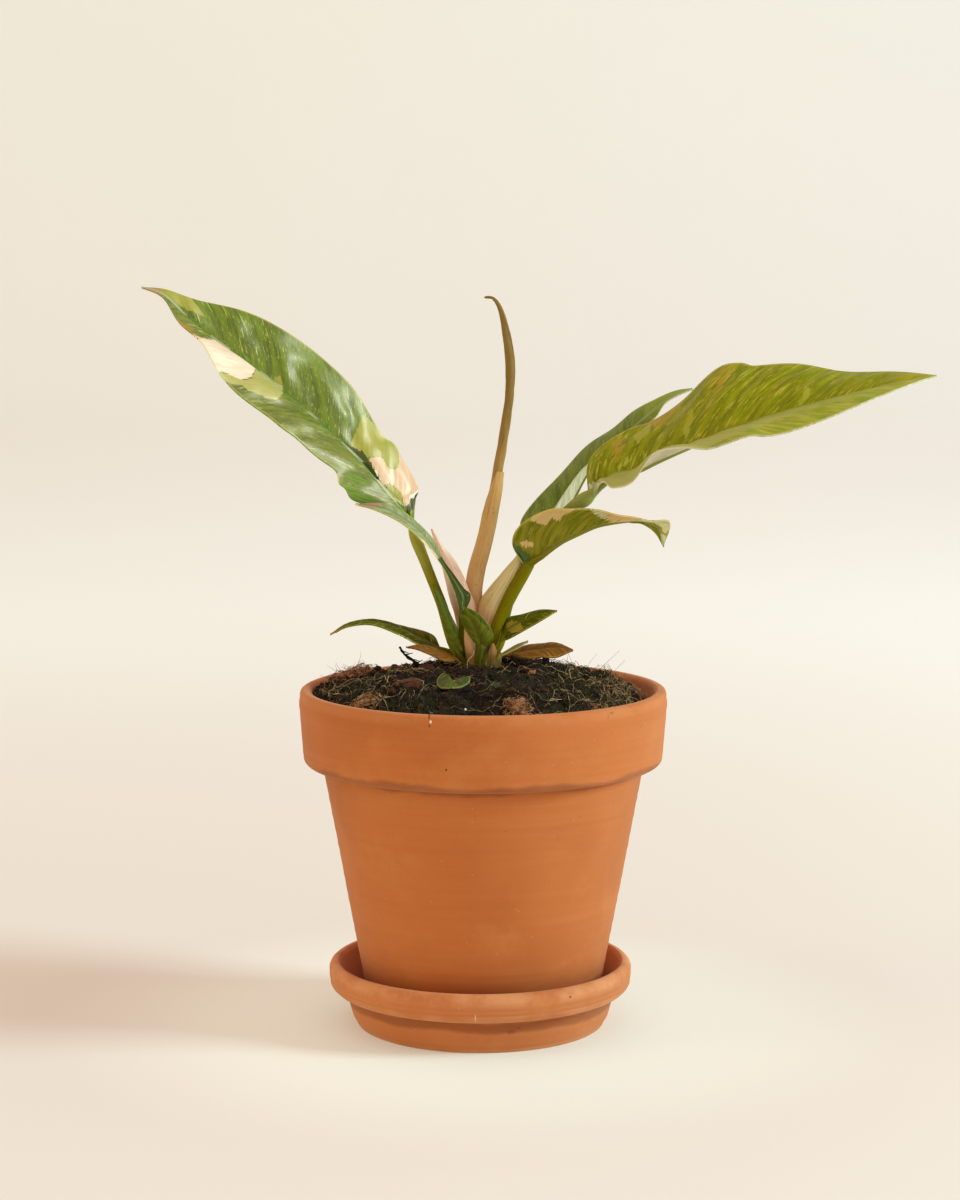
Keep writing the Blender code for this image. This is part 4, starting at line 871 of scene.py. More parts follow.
# %% Back leaf and curled leaf
BACK_TOP = blade_finish("back_leaf_top", ("#54681a", "#6e8226"), ("#8ea04c", "#a9b86a"), 29.0,
                        other=("#4e6214", "#6c7f20"), sheen_flecks=0.3, streak_level=0.68, sheen="#849648",
                        rib="#8fa56a", tip=(52.0, 82.0, "#98a63c"), gloss=0.3)
BACK_UNDER = underside_finish("back_leaf_under", "#bab68c", "#d8d2b0", 29.0)
leaf(
    "leaf_back", "leaf_deep", [BACK_TOP, BACK_UNDER, STALK_OLIVE],
    rib=[(22, 20, 187.5), (28, 22.5, 191.5), (34, 25, 196.5), (41, 26, 209), (48.5, 25.5, 217.5),
         (56.5, 25, 224.5), (64, 23.5, 231.5), (70, 22, 236.5), (76, 20.5, 240.5), (81, 19.5, 242)],
    left=[(20.5, 23, 187), (15.5, 28, 189), (21, 33, 197.5), (32, 36, 209), (42, 36, 219.5),
          (51.5, 34, 226.5), (60, 31, 233), (68.2, 24.5, 238.2), (75.2, 21.3, 241.1)],
    right=[(23, 18, 187), (25, 15, 190.5), (29, 15.5, 197.5), (39, 18.5, 210.5), (47.5, 20.5, 217.5),
           (56.5, 20.5, 223.5), (65.8, 20, 230), (70.6, 20.6, 236), (76.4, 19.9, 239.9)],
    petiole=[(2, 6, 139.5, 1.8), (4.1, 10.2, 144.6, 1.8), (6.8, 13.4, 151.5, 1.8),
             (11, 15.5, 161.5, 1.8), (15, 17, 172.5, 1.7), (18.5, 19, 181, 1.6), (22, 20, 187.5, 1.4)],
    rows=110, columns=32, wave=(0.35, 4, 0.6), puff=0.2, vein_step=9.0,
    lobes=([(0.5, -0.7, 0.2)], []),
    seed=29.0)

CURL_TOP = blade_finish("curled_leaf_top", ("#5b6a0c", "#747c12"), ("#a9a858", "#a9a858"), 41.0,
                        sheen_flecks=0.3, rib="#9aa05a")
CURL_UNDER = blade_finish("curled_leaf_under", ("#6c7006", "#84840e"), ("#b8a44c", "#b0b058"), 43.0,
                          other=("#747608", "#9a9224"), sheen_flecks=0.25, streak_level=0.68, rough=0.5,
                          torn=2.2, gloss=0.15,
                          shades={"cream": ("#dcb46c", "#e6c486"), "lime": ("#c8c88c", "#dcd8a4"),
                                  "deep": ("#4c5e28", "#586e38")})
leaf(
    "leaf_curl", "leaf_variegated", [CURL_TOP, CURL_UNDER, STALK_OLIVE],
    rib=[(18.5, -2, 177), (21, -3, 179.5), (25.5, -5, 183), (30.5, -8, 186.5), (36.5, -11, 189.5),
         (43, -14, 192.5), (49, -17, 194), (55.5, -20, 195), (61, -22, 195), (65.5, -23, 193),
         (67.5, -23, 186)],
    left=[(19.3, 0, 177), (17, 4, 181), (19.5, 6, 186.5), (27.5, 5, 193.5), (36, 2, 195),
          (44.5, -3, 195.3), (51, -9, 194.7), (56, -16, 194.3), (60, -20.5, 193.8), (64.5, -21.6, 191)],
    right=[(16, -5, 178), (12, -9, 186), (15.5, -13, 193), (26, -18, 199), (34, -22, 199.5),
           (43.5, -24, 199), (50, -25, 198), (56, -25, 196.5), (62, -25, 195.3), (69.6, -25.5, 195)],
    petiole=[(2, -0.5, 137, 2.3), (4, -0.6, 145, 2.4), (6.4, -0.6, 154, 2.5), (9.3, -0.6, 160.5, 2.6),
             (12.6, -0.8, 167, 2.7), (15.6, -1.2, 172, 2.5), (18.5, -2, 177, 2.2)],
    rows=110, columns=32, wave=(0.4, 4, 0.0), keel=0.6, puff=0.2, vein_step=9.0, seed=41.0,
    patches=[
        ("cream", 1, [(18.5, 195), (22, 199), (28, 202), (36, 202), (35, 199.5), (31.5, 197.5),
                      (29.5, 194.5), (26.5, 196), (24.5, 192.8), (21, 194)]),
        ("cream", 1, [(46, 199.5), (50, 200), (57, 198), (58.5, 195.5), (51.5, 195), (48, 194.5)]),
        ("cream", 1, [(15, 186), (17.5, 187), (20, 186), (20, 184.5), (16.5, 184)]),
        ("lime", 1, [(38, 202), (47, 201), (57, 199.5), (72, 198.5), (70, 184), (58, 192), (49, 194),
                     (44, 197)]),
        ("deep", 1, [(10, 186.5), (13, 186), (15.5, 183.2), (18, 181.5), (19.5, 178.5), (18, 175),
                     (14, 174.5), (10.5, 179)])])

# %% [markdown]
# A narrow grey-green leaf crosses in front of the left petiole. Round the stem sit small young
# leaves: dark ones, a low pair that spreads to both sides, and dry brown ones.

# %% Small leaves
STALK_DARK = fibrous_finish("stalk_dark", "#55500e", "#5c5c14", (-12.0, 2.0), "#2e2e08", 6.0)
GREY_TOP = blade_finish("grey_leaf_top", ("#76804c", "#929a68"), ("#c9bc92", "#d8c8a0"), 51.0,
                        sheen_flecks=0.3, rib="#6c7848", tip=(54.0, 57.5, "#a97e66"), gloss=0.2,
                        shades={"cream": ("#e6c89c", "#e6c89c")})
GREY_UNDER = blade_finish("grey_leaf_under", ("#3f5212", "#4c6018"), ("#ead6b8", "#ead6b8"), 53.0,
                          other=("#dcb890", "#e4c8a4"), sheen_flecks=0.2, rough=0.5, rib="#e4cba6")
OLD_GREY = blade_finish("old_grey_leaf", ("#6c6c34", "#868048"), ("#a89a60", "#8a7440"), 55.0,
                        sheen_flecks=0.3, rib="#8c8450", rough=0.55)
leaf(
    "leaf_strip", "leaf_pale", [GREY_TOP, GREY_UNDER, STALK_DARK],
    rib=[(-7, -6, 160), (-6.7, -5.7, 164.6), (-8.3, -6, 168), (-11.7, -8, 173.8), (-15, -9.8, 179),
         (-19.2, -12.2, 186.2), (-26.5, -16.5, 194), (-35.5, -21, 199.5), (-46, -25, 201.5)],
    left=[(-8, -7, 160.2), (-8.9, -8, 164.2), (-10.3, -9.3, 168), (-12.8, -11, 174.2),
          (-16.3, -12.8, 180), (-21.2, -17, 186.6), (-29.3, -21, 194.2), (-38.6, -24, 199.3)],
    right=[(-5.9, -4.8, 160.2), (-3.9, -3.4, 165), (-6.4, -3.2, 167.6), (-10.7, -5, 173.8),
           (-14.3, -6.8, 179), (-18.3, -8, 187.2), (-25, -13, 194.5), (-34.5, -18, 200.7)],
    petiole=[(-4.5, -3.5, 141, 1.2), (-6.2, -5.2, 146, 1.2), (-7, -5.9, 152, 1.2), (-7.1, -6, 157, 1.15),
             (-7, -6, 160, 1.1)],
    rows=80, columns=20, keel=0.3, puff=0.08, vein_step=7.0, stalk_sides=10, seed=51.0,
    patches=[
        ("cream", -1, [(-16.5, 178), (-20.8, 184), (-30, 191), (-31, 194), (-21, 187.3),
                       (-15.8, 180.3)]),
        ("deep", 0, [(-9.5, 158), (-3, 158), (-3, 166), (-8, 172), (-14, 180.5), (-17, 179.5),
                     (-12, 171), (-10, 165)])])

DARK_TOP = blade_finish("dark_leaf_top", ("#3c4800", "#4c5c02"), ("#8d9440", "#7a8430"), 61.0,
                        other=("#3a4600", "#4a5802"), sheen_flecks=0.2, streak_level=0.72, rib="#5c6a18",
                        sheen="#66741c", gloss=0.15)
DARK_UNDER = underside_finish("dark_leaf_under", "#565c0e", "#6d701c", 61.0)
leaf(
    "leaf_front", "leaf_deep", [DARK_TOP, DARK_UNDER, STALK_DARK],
    rib=[(0.4, -8.6, 146.6), (-0.2, -10, 150), (-2, -11.5, 154.5), (-4, -12.5, 158.5),
         (-5.4, -12.5, 161.6)],
    left=[(-0.9, -8.6, 146.8), (-3.3, -9.5, 150), (-6, -10.5, 154.5), (-7.7, -12, 159)],
    right=[(2.4, -8.4, 147.4), (4.8, -9, 150.4), (2.6, -10.5, 155.2), (-1.2, -12, 159.4)],
    petiole=[(-1.2, -4.4, 137, 1.7), (-1, -6.8, 141, 1.7), (0.4, -8.6, 146.6, 1.4)],
    rows=40, columns=18, belly=0.12, keel=0.3, puff=0.1, vein_step=5.0, stalk_sides=12, seed=61.0)
leaf(
    "leaf_dark", "leaf_deep", [DARK_TOP, DARK_UNDER, STALK_DARK],
    rib=[(-9.2, -6.8, 144.5), (-10, -7.8, 149.8), (-12.8, -8.6, 157.6), (-15.2, -9, 164),
         (-17.6, -8.8, 170)],
    left=[(-10.6, -6.4, 144.5), (-12.1, -7.6, 149.7), (-14.7, -8.6, 158.2), (-16.5, -9.2, 164)],
    right=[(-7.9, -6.6, 145), (-7.9, -6.5, 150.8), (-11, -7, 157.4), (-13.9, -8, 163.8)],
    petiole=[(-4.5, -3.5, 137, 1.2), (-7, -5.6, 141, 1.2), (-9.2, -6.8, 144.5, 1.1)],
    rows=44, columns=16, belly=0.1, keel=0.4, puff=0.08, vein_step=5.0, stalk_sides=10, seed=63.0)

LOW_TOP = blade_finish("low_leaf_top", ("#465000", "#5c6406"), ("#b0a03c", "#9a7c30"), 71.0,
                       other=("#424a00", "#545c04"), sheen_flecks=0.2, streak_level=0.62, sheen="#7c7c18",
                       rib="#6a6c1c", gloss=0.05, rough=0.5,
                       shades={"rust": ("#9a6a2c", "#7a4c1c"), "lime": ("#8f7c24", "#a08c34")})
LOW_UNDER = underside_finish("low_leaf_under", "#6c6a14", "#8d8438", 71.0)
leaf(
    "leaf_low_left", "leaf_variegated", [LOW_TOP, LOW_UNDER, STALK_GREEN],
    rib=[(-16, 5.3, 143.6), (-18.8, 4, 145.8), (-23.4, 2.2, 148.2), (-30.5, 0, 152), (-41, -3, 155),
         (-50, -6, 154), (-56.5, -8, 150.8)],
    left=[(-16.4, 3.8, 143), (-19.6, -1.5, 144.6), (-25, -4.5, 147.2), (-31, -6, 150.6),
          (-41, -7, 154.4), (-50, -7.5, 153.7)],
    right=[(-16, 6.8, 144.6), (-18, 8.4, 148), (-22.8, 7.6, 150.2), (-30.5, 5, 152.3),
           (-40.5, 0.5, 155.4), (-50, -4.7, 154.6)],
    petiole=[(-3.8, 5.7, 138.8, 1.1), (-8.3, 7.2, 141, 1.1), (-12.5, 6.6, 142.4, 1.1),
             (-16, 5.3, 143.6, 1.0)],
    rows=64, columns=20, belly=0.1, keel=0.35, puff=0.15, vein_step=6.0, stalk_sides=10, seed=71.0,
    patches=[
        ("rust", 0, [(-51, 158), (-60, 156), (-60, 148), (-52, 150)]),
        ("rust", 0, [(-20, 150), (-25, 151), (-24, 147)]),
        ("lime", 0, [(-18, 144.5), (-24, 147.2), (-31, 151), (-31, 149.5), (-22, 144), (-18, 142)])])
leaf(
    "leaf_low_right", "leaf_variegated", [LOW_TOP, LOW_UNDER, STALK_GREEN],
    rib=[(9, -2.6, 149.5), (11, -2.4, 152.3), (15.8, -3, 155), (22.5, -5, 158), (28.8, -7, 159.7)],
    left=[(8.6, -1.4, 150.8), (9.4, 1.5, 155.4), (15.5, 3, 156.8), (22.5, 0, 159)],
    right=[(9.8, -4.4, 148.6), (13, -7.5, 150.5), (18.5, -9, 153.8), (24, -9, 157)],
    petiole=[(3.6, -4.2, 141, 1.2), (7, -4.4, 145, 1.2), (9, -2.6, 149.5, 1.1)],
    rows=46, columns=20, belly=0.1, keel=0.35, puff=0.15, vein_step=6.0, stalk_sides=10, seed=73.0,
    patches=[
        ("lime", 0, [(9.5, 154.5), (12, 155.4), (15.5, 154.6), (16, 153), (13, 151.6), (10, 151.6)]),
        ("rust", 0, [(25.5, 161), (30, 161.5), (30, 158.5), (26.5, 158)])])

DRY_TOP = blade_finish("dry_leaf_top", ("#6a3c0a", "#87540e"), ("#a87830", "#6c5a14"), 81.0,
                       sheen_flecks=0.35, sheen="#98702c", rib="#7a5018", rough=0.6, streak_level=0.6,
                       gloss=0.25)
DRY_UNDER = underside_finish("dry_leaf_under", "#6a3c0c", "#8f6020", 81.0)
DRY_STALK = fibrous_finish("dry_stalk", "#8a6a3a", "#7a4c1c", (-8.0, 6.0), "#40220c", 8.0, rough=0.7)
leaf(
    "leaf_dead_left", "leaf_dry", [DRY_TOP, DRY_UNDER, DRY_STALK],
    rib=[(-9.7, -7.5, 141.4), (-13, -8.5, 142.9), (-19, -9.5, 145), (-24, -10.5, 146.3),
         (-28, -11.5, 146.5)],
    left=[(-9.8, -8.8, 141), (-14, -11.5, 141.5), (-19.5, -12.5, 144), (-24, -12.5, 145.8)],
    right=[(-9.5, -6.3, 141.8), (-12.8, -5.7, 143.5), (-19, -6.5, 146), (-23.8, -9, 147)],
    petiole=[(-3.5, -2.3, 138.3, 0.9), (-7, -4.7, 139.7, 0.9), (-9.7, -7.5, 141.4, 0.8)],
    rows=44, columns=18, belly=-0.1, keel=0.2, puff=0.3, vein_step=5.0, stalk_sides=8, seed=81.0)
leaf(
    "leaf_brown_right", "leaf_dry", [DRY_TOP, DRY_UNDER, DRY_STALK],
    rib=[(9.5, 2, 141.6), (15, 1.5, 142.5), (22.5, 0.5, 144), (29.5, -1, 145), (35, -3, 144.2)],
    left=[(9.5, 3.4, 142), (15, 6.5, 143.8), (22.5, 6.5, 145.3), (29.5, 3, 145.8)],
    right=[(9.5, 0.6, 141.4), (15, -4, 141.6), (22.5, -6, 141.9), (29, -6, 142.2)],
    petiole=[(3.5, 1.1, 138.5, 0.9), (6.6, 1.2, 140.2, 0.9), (9.5, 2, 141.6, 0.8)],
    rows=50, columns=18, belly=0.12, wave=(0.2, 3, 0.2), keel=0.2, puff=0.15, vein_step=6.0,
    stalk_sides=8, seed=83.0)
leaf(
    "leaf_grey", "leaf_pale", [OLD_GREY, OLD_GREY, STALK_PALE],
    rib=[(8.2, -6.6, 143.1), (10.8, -7, 144.5), (14.2, -7.4, 146.4), (18, -7.8, 148.3)],
    left=[(8.2, -5.8, 143.3), (10.6, -5.4, 144.7), (14, -6, 146.7)],
    right=[(8.3, -7.4, 142.9), (11, -8.6, 144.3), (14.5, -8.8, 146.1)],
    petiole=[(4.4, -4.2, 139, 0.9), (6.5, -5.9, 141.4, 0.8), (8.2, -6.6, 143.1, 0.6)],
    rows=30, columns=14, belly=0.1, keel=0.2, puff=0.05, vein_step=4.0, stalk_sides=8, seed=85.0)
# The seedling's upper face lies inside its cup; its dark greens are painted shade for that shaded hollow.
SEEDLING_TOP_SHADED = blade_finish("seedling_top_painted_shade", ("#3c4618", "#525e22"), ("#7c8840", "#7c8840"), 91.0,
                            sheen_flecks=0.2, sheen="#76823c", rib="#5c6428", gloss=0.2)
SEEDLING_UNDER = underside_finish("seedling_under", "#77743a", "#8c8a50", 91.0)
leaf(
    "seedling", "leaf_variegated", [SEEDLING_TOP_SHADED, SEEDLING_UNDER, STALK_PALE],
    rib=[(-9.6, -33.8, 136.9), (-10, -35.6, 136.4), (-10.4, -37.6, 135.9), (-10.8, -39.8, 135.5)],
    left=[(-8.6, -34, 136.8), (-6.4, -33, 137.4), (-4.2, -31.8, 138.2), (-4.2, -34.6, 136.9),
          (-6.6, -38, 135.7)],
    right=[(-10.6, -34, 136.9), (-12.4, -32.6, 138.4), (-13.8, -31.2, 139.4), (-16, -34, 136.9),
           (-14.6, -38.4, 135.4)],
    petiole=[(-10, -30.5, 128, 0.7), (-9.8, -31.2, 133, 0.7), (-9.6, -32.5, 136, 0.7),
             (-9.6, -33.8, 136.9, 0.6)],
    rows=34, columns=24, belly=0.1, keel=0.2, puff=0.1, vein_step=3.0, stalk_sides=8, seed=91.0)


# %% [markdown]
# The newest leaf is still rolled up: one sheet wound a turn and a quarter round its axis, so its
# free edge climbs round it as a low step. Below it a tan sheath holds it. Sheaths are grids too,
# wrapped part of the way round their axis, with fine ribs.

# %% Rolled leaf and sheaths


def wrapped(name, slot, skin, axis, open_side, rows, columns, thickness, ribs=0.05, spiral=0.0,
            climb=0.0, crumple=0.0, node=None):
    """A sheet wrapped round an axis; each station is (x, y, z, radius, half wrap in degrees)."""
    curve = smooth_line(axis, rows + 1)
    heading = unit(np.gradient(curve[:, :3], axis=0))
    far = lengths(curve[:, :3])
    facing = np.asarray(open_side, float)
    opening = unit(facing - heading * (heading @ facing)[:, None])
    side = np.cross(heading, opening)
    shares = np.linspace(-1, 1, columns + 1)
    points = np.zeros((rows + 1, columns + 1, 3))
    place_values = np.zeros((rows + 1, columns + 1, 3))
    for a in range(rows + 1):
        turn = np.radians(curve[a, 4] * shares) + climb * 2 * math.pi * a / rows
        wrinkle = np.array([noise.noise((math.cos(t) * 1.3, math.sin(t) * 1.3, far[a] * 0.16))
                            for t in turn])
        radius = curve[a, 3] * (1 + spiral * shares) + ribs * np.cos(13 * turn) + crumple * wrinkle
        radius = np.maximum(radius, 0.12)
        spokes = np.outer(np.sin(turn), side[a]) - np.outer(np.cos(turn), opening[a])
        points[a] = curve[a, :3] + spokes * radius[:, None]
        place_values[a] = np.stack([np.full(columns + 1, far[a]), turn * curve[a, 3], shares], axis=1)
    bm = bmesh.new()
    place = bm.verts.layers.float_vector.new("place")
    faces = laid_sheet(bm, points, [(place, place_values)])
    bmesh.ops.recalc_face_normals(bm, faces=faces)
    middle = Vector(curve[rows // 2, :3]) * MM
    nearest = min(faces, key=lambda face: (face.calc_center_median() - middle).length)
    if (nearest.calc_center_median() - middle).dot(nearest.normal) < 0:
        bmesh.ops.reverse_faces(bm, faces=faces)
    thickened(bm, faces, thickness, 0)
    settle(name, bm, [skin], 60, slot, node)


SPIKE_AXIS = ((-1.5, 5, 142, 2.2), (-2.5, 5, 158, 2.3), (-2, 4, 171, 2.2), (2.7, 2.5, 190, 1.95),
              (6.6, 1, 212, 1.8), (9.4, 0, 229, 1.75), (11, 0, 241, 1.65), (11, 0, 253.5, 1.75),
              (9.3, 1, 265, 1.4), (7.4, 1, 272.5, 0.95), (4.8, 1, 276.5, 0.6), (1.5, 2, 277, 0.3))
ROLL_ANGLE, WRAP_ANGLES = 225, (150, 150, 145, 125, 30)
SPIKE_SKIN = fibrous_finish("rolled_leaf", "#b28c4c", "#886c38", (60.0, 100.0), "#5c481e", 11.0, rough=0.5)
SHEATH_TAN = fibrous_finish("sheath_tan", "#d2a874", "#cfa264", (10.0, 50.0), "#8f6238", 12.0, rough=0.5)
SHEATH_ROSE = fibrous_finish("sheath_rose", "#cf9468", "#fbd9c0", (14.0, 34.0), "#b87a54", 13.0, rough=0.5)
SHEATH_CREAM = fibrous_finish("sheath_cream", "#c89866", "#decc90", (12.0, 30.0), "#9c7830", 14.0,
                              rough=0.5)
SHEATH_BUFF = fibrous_finish("sheath_buff", "#9a7038", "#d2a474", (2.0, 9.0), "#7a5626", 15.0, rough=0.5)
wrapped("spike_rolled", "spike_olive", SPIKE_SKIN, [(*station, ROLL_ANGLE) for station in SPIKE_AXIS],
        (1, -0.4, 0), rows=200, columns=40, thickness=0.3, ribs=0.03, spiral=0.1, climb=1.3, crumple=0.22,
        node="spike")
GAP, SHEATH_WALL = 0.3, 0.65
wrapped(
    "sheath_spike_wrap", "sheath_tan", SHEATH_TAN,
    [(x, y, z, radius + 1.5 * GAP + SHEATH_WALL, angle)
     for (x, y, z, radius), angle in zip(SPIKE_AXIS, WRAP_ANGLES)],
    (-0.4, 1, 0), rows=90, columns=34, thickness=0.55, ribs=0.06, crumple=0.15,
    node="sheath_spike")
wrapped(
    "sheath_pink_wrap", "sheath_tan", SHEATH_ROSE,
    [(-3.2, 3, 140, 3.2, 80), (-4.2, 3, 148, 3.8, 80), (-5.6, 2.8, 158.5, 4.6, 80),
     (-8.1, 2.2, 166.3, 4.3, 80), (-11.3, 1.4, 175.6, 3.3, 76), (-14.8, 0.2, 182.5, 2.1, 70),
     (-18.4, -1.5, 190.3, 0.5, 55)],
    (0.3, 0.95, 0.1), rows=80, columns=28, thickness=0.5, crumple=0.25, node="sheath_pink")
wrapped(
    "sheath_right_wrap", "sheath_cream", SHEATH_CREAM,
    [(1.2, 2, 141, 3.4, 80), (1.4, 2.2, 149, 4.2, 80), (2, 2.4, 154.7, 4.6, 80), (4.1, 2.5, 160.5, 4.7, 80),
     (7.3, 2.2, 166, 4.0, 80), (11.8, 1, 173.6, 2.6, 80), (14.2, 0, 178, 1.7, 76), (16, -1, 182, 0.9, 70)],
    (0.35, 0.93, -0.1), rows=80, columns=32, thickness=0.5, ribs=0.1, crumple=0.15,
    node="sheath_right")
wrapped(
    "sheath_front_wrap", "sheath_tan", SHEATH_BUFF,
    [(-3.0, -5.6, 139.5, 1.9, 80), (-3.5, -6.2, 144.5, 2.3, 80), (-4.6, -6.8, 149.5, 1.7, 75),
     (-5.6, -7.2, 154.6, 0.4, 60)], (0.3, 1, 0), rows=40, columns=18, thickness=0.45, crumple=0.15,
    node="sheath_front")

# %% [markdown]
# The soil is a mound of dark compost. Its broad lumps repeat the CAD height, and finer noise
# breaks the surface into crumbs. A square grid is pressed into a disc, lifted to that height,
# and its border is extruded down the inside of the pot so that it is a closed filling.

# %% Soil
SOIL_CROWN_Z, SOIL_EDGE_Z, SOIL_EDGE_TILT, SOIL_SHOULDER = 138.5, 123.5, 4.5, 2.6
SOIL_HOLLOW, HOLLOW_WIDTH, SOIL_ROUGHNESS, LUMP_SIZE = 2.0, 11.0, 1.3, 9.0
STEM_X, STEM_Y = -0.5, 0.0
SOIL_TUFTS = ((14.0, -45.0, 5.5, 2.6), (-50.0, 12.0, 8.0, 3.0))
SOIL_DIPS = ((-38.0, 22.0, 15.0, -3.2), (50.0, 4.0, 9.0, 1.6), (-6.0, 33.0, 12.0, -1.2),
             (57.0, -4.0, 8.0, 2.6))
SOIL_CLEARANCE = 0.42
SOIL_CELLS = 150


def swelling(x, y, swells):
    """How far round swells lift a place; each is x, y, width and height in mm."""
    return sum(high * math.exp(-((x - sx)**2 + (y - sy)**2) / (2 * wide**2))
               for sx, sy, wide, high in swells)


def soil_height(x, y):
    """Height of the mound in mm, as in the CAD model."""
    dx = x - AXIS_X
    reach = min(1.0, math.hypot(dx, y) / pot_inside(SOIL_EDGE_Z))
    edge = SOIL_EDGE_Z - SOIL_EDGE_TILT * dx / RIM_RADIUS
    mound = edge + (SOIL_CROWN_Z - edge) * (1 - reach**SOIL_SHOULDER)
    spot = Vector((x, y, 0)) / LUMP_SIZE
    lumps = noise.noise(spot) + 0.5 * noise.noise(spot * 2)
    hollow = math.exp(-((x - STEM_X)**2 + (y - STEM_Y)**2) / HOLLOW_WIDTH**2)
    rough = SOIL_ROUGHNESS * lumps * (1 - 0.6 * hollow)
    return mound + rough + swelling(x, y, SOIL_TUFTS) - SOIL_HOLLOW * hollow


def ground(x, y):
    """The mound with its clods and crumbs; it has sunk behind the left tuft and swells on the right."""
    clods = noise.noise(Vector((x, y, 11)) / 5.5)
    crumbs = noise.turbulence(Vector((x, y, 7)) / 3.4, 3, True) - 0.35
    grit = noise.noise(Vector((x, y, 3)) / 0.9)
    return soil_height(x, y) + 1.3 * clods + 2.0 * crumbs + 0.25 * grit + swelling(x, y, SOIL_DIPS)


def soil_finish():
    w = Finish("damp_compost", 0.9, Specular_IOR_Level=0.2)
    place = w.object_place()
    colour = w.mix(w.rise(w.cloud(place, 260.0, 4.0, 0.65), 0.4, 0.66), "#120a05", "#2e1c0f")
    colour = w.lay(colour, w.rise(w.cloud(place, 55.0, 3.0), 0.5, 0.7), 0.5, "#23260e")
    colour = w.mix(w.use(SPECKS, Place=place, Scale=520.0, Share=0.1), colour, "#54361e")
    colour = w.mix(w.use(SPECKS, Place=place, Scale=800.0, Share=0.03), colour, "#b59a78")
    return w.done(colour, w.cloud(place, 700.0, 4.0, 0.7), 0.8, 0.0008)


def make_soil():
    bm = bmesh.new()
    mouth = pot_inside(SOIL_EDGE_Z) - SOIL_CLEARANCE
    grid = bmesh.ops.create_grid(bm, x_segments=SOIL_CELLS, y_segments=SOIL_CELLS, size=1.0)
    for vert in grid["verts"]:
        a, b = vert.co.x, vert.co.y
        x, y = a * math.sqrt(1 - b * b / 2), b * math.sqrt(1 - a * a / 2)
        share = math.hypot(x, y)
        z = soil_height(AXIS_X + mouth * x, mouth * y)
        radius = mouth + (pot_inside(z) - SOIL_CLEARANCE - mouth) * share**4
        spot = (AXIS_X + radius * x, radius * y)
        vert.co = Vector((*spot, ground(*spot) if share < 0.995 else z)) * MM
    border = [edge for edge in bm.edges if edge.is_boundary]
    for z, inset in ((FLOOR_Z + GAP + FLOOR_COVE, SOIL_CLEARANCE), (FLOOR_Z + GAP, FLOOR_COVE + 1.0)):
        made = bmesh.ops.extrude_edge_only(bm, edges=border)["geom"]
        border = [item for item in made if isinstance(item, bmesh.types.BMEdge) and item.is_boundary]
        for vert in {end for edge in border for end in edge.verts}:
            out = Vector((vert.co.x / MM - AXIS_X, vert.co.y / MM, 0)).normalized()
            reach = pot_inside(z) - inset
            vert.co = Vector((AXIS_X + reach * out.x, reach * out.y, z)) * MM
    bmesh.ops.edgeloop_fill(bm, edges=border)
    bmesh.ops.recalc_face_normals(bm, faces=bm.faces)
    settle("soil_mound", bm, [soil_finish()], 80, "potting_soil", "soil")


make_soil()

# %% [markdown]
# Loose stuff makes soil look like soil: crumbs of compost, flakes of bark, threads of coconut
# fibre and tufts of moss. Crumbs are small icospheres pressed out of round. Threads and moss
# sprigs are curves with a thickness, turned into a mesh when all of one kind are drawn.

# %% Crumbs and flakes
chance = random.Random(7)
CRUMBS, FLAKES = 2400, 190


def on_soil():
    """A random place on the soil."""
    radius = (pot_inside(SOIL_EDGE_Z) - 2.0) * math.sqrt(chance.random())
    turn = chance.uniform(0, 2 * math.pi)
    return AXIS_X + radius * math.cos(turn), radius * math.sin(turn)


def lump_finish(name, dark, light):
    """A finish whose shade differs from one lump to the next."""
    w = Finish(name, 0.9, Specular_IOR_Level=0.25)
    place = w.object_place()
    colour = w.mix(w.mark("shade", "Fac"), dark, light)
    colour = w.mix(w.rise(w.cloud(place, 900.0, 3.0), 0.45, 0.75), colour, dark)
    return w.done(colour, w.cloud(place, 1500.0, 3.0), 0.6, 0.0004)


def lumps(name, slot, places, dark, light):
    """Many small lumps as one piece; each place is (x, y, sink, long, wide, high, shade)."""
    bm = bmesh.new()
    shade = bm.verts.layers.float.new("shade")
    for x, y, sink, long, wide, high, value in places:
        turn = Matrix.Rotation(chance.uniform(0, 6.3), 4, "Z")
        turn = turn @ Matrix.Rotation(chance.uniform(-0.5, 0.5), 4, "X")
        size = Matrix.Diagonal((long * MM, wide * MM, high * MM, 1))
        stand = Matrix.Translation(Vector((x, y, ground(x, y) + high * sink)) * MM) @ turn @ size
        made = bmesh.ops.create_icosphere(bm, subdivisions=1, radius=1.0, matrix=stand)
        centre = stand.translation
        for vert in made["verts"]:
            vert.co = centre + (vert.co - centre) * chance.uniform(0.7, 1.15)
            vert[shade] = value
    settle(name, bm, [lump_finish(name + "_skin", dark, light)], 35, slot)


crumb_places = []
for _ in range(CRUMBS):
    x, y = on_soil()
    big = chance.uniform(0.35, 1.0) if chance.random() < 0.78 else chance.uniform(1.0, 2.2)
    crumb_places.append((x, y, chance.uniform(-0.2, 0.7), big, big * chance.uniform(0.6, 1.0),
                         big * chance.uniform(0.5, 0.9), chance.random()))
lumps("soil_crumbs", "potting_soil", crumb_places, "#0e0805", "#44290f")
flake_places = []
for _ in range(FLAKES):
    x, y = on_soil()
    long = chance.uniform(0.8, 3.0)
    flake_places.append((x, y, 0.4, long, long * chance.uniform(0.25, 0.6), chance.uniform(0.2, 0.5),
                         chance.random()))
lumps("bark_flakes", "bark", flake_places, "#1e100a", "#6e4630")
grit_places = [(-5.6, -53.5, 0.5, 0.9, 0.6, 0.5, 1.0), (-20, -36, 0.5, 0.5, 0.4, 0.4, 0.8),
               (-52, -16, 0.5, 0.6, 0.5, 0.4, 0.7), (24, -12, 0.5, 0.5, 0.4, 0.4, 0.6)]
lumps("white_grit", "potting_soil", grit_places, "#b8ad9c", "#f2ece0")


# %% Threads


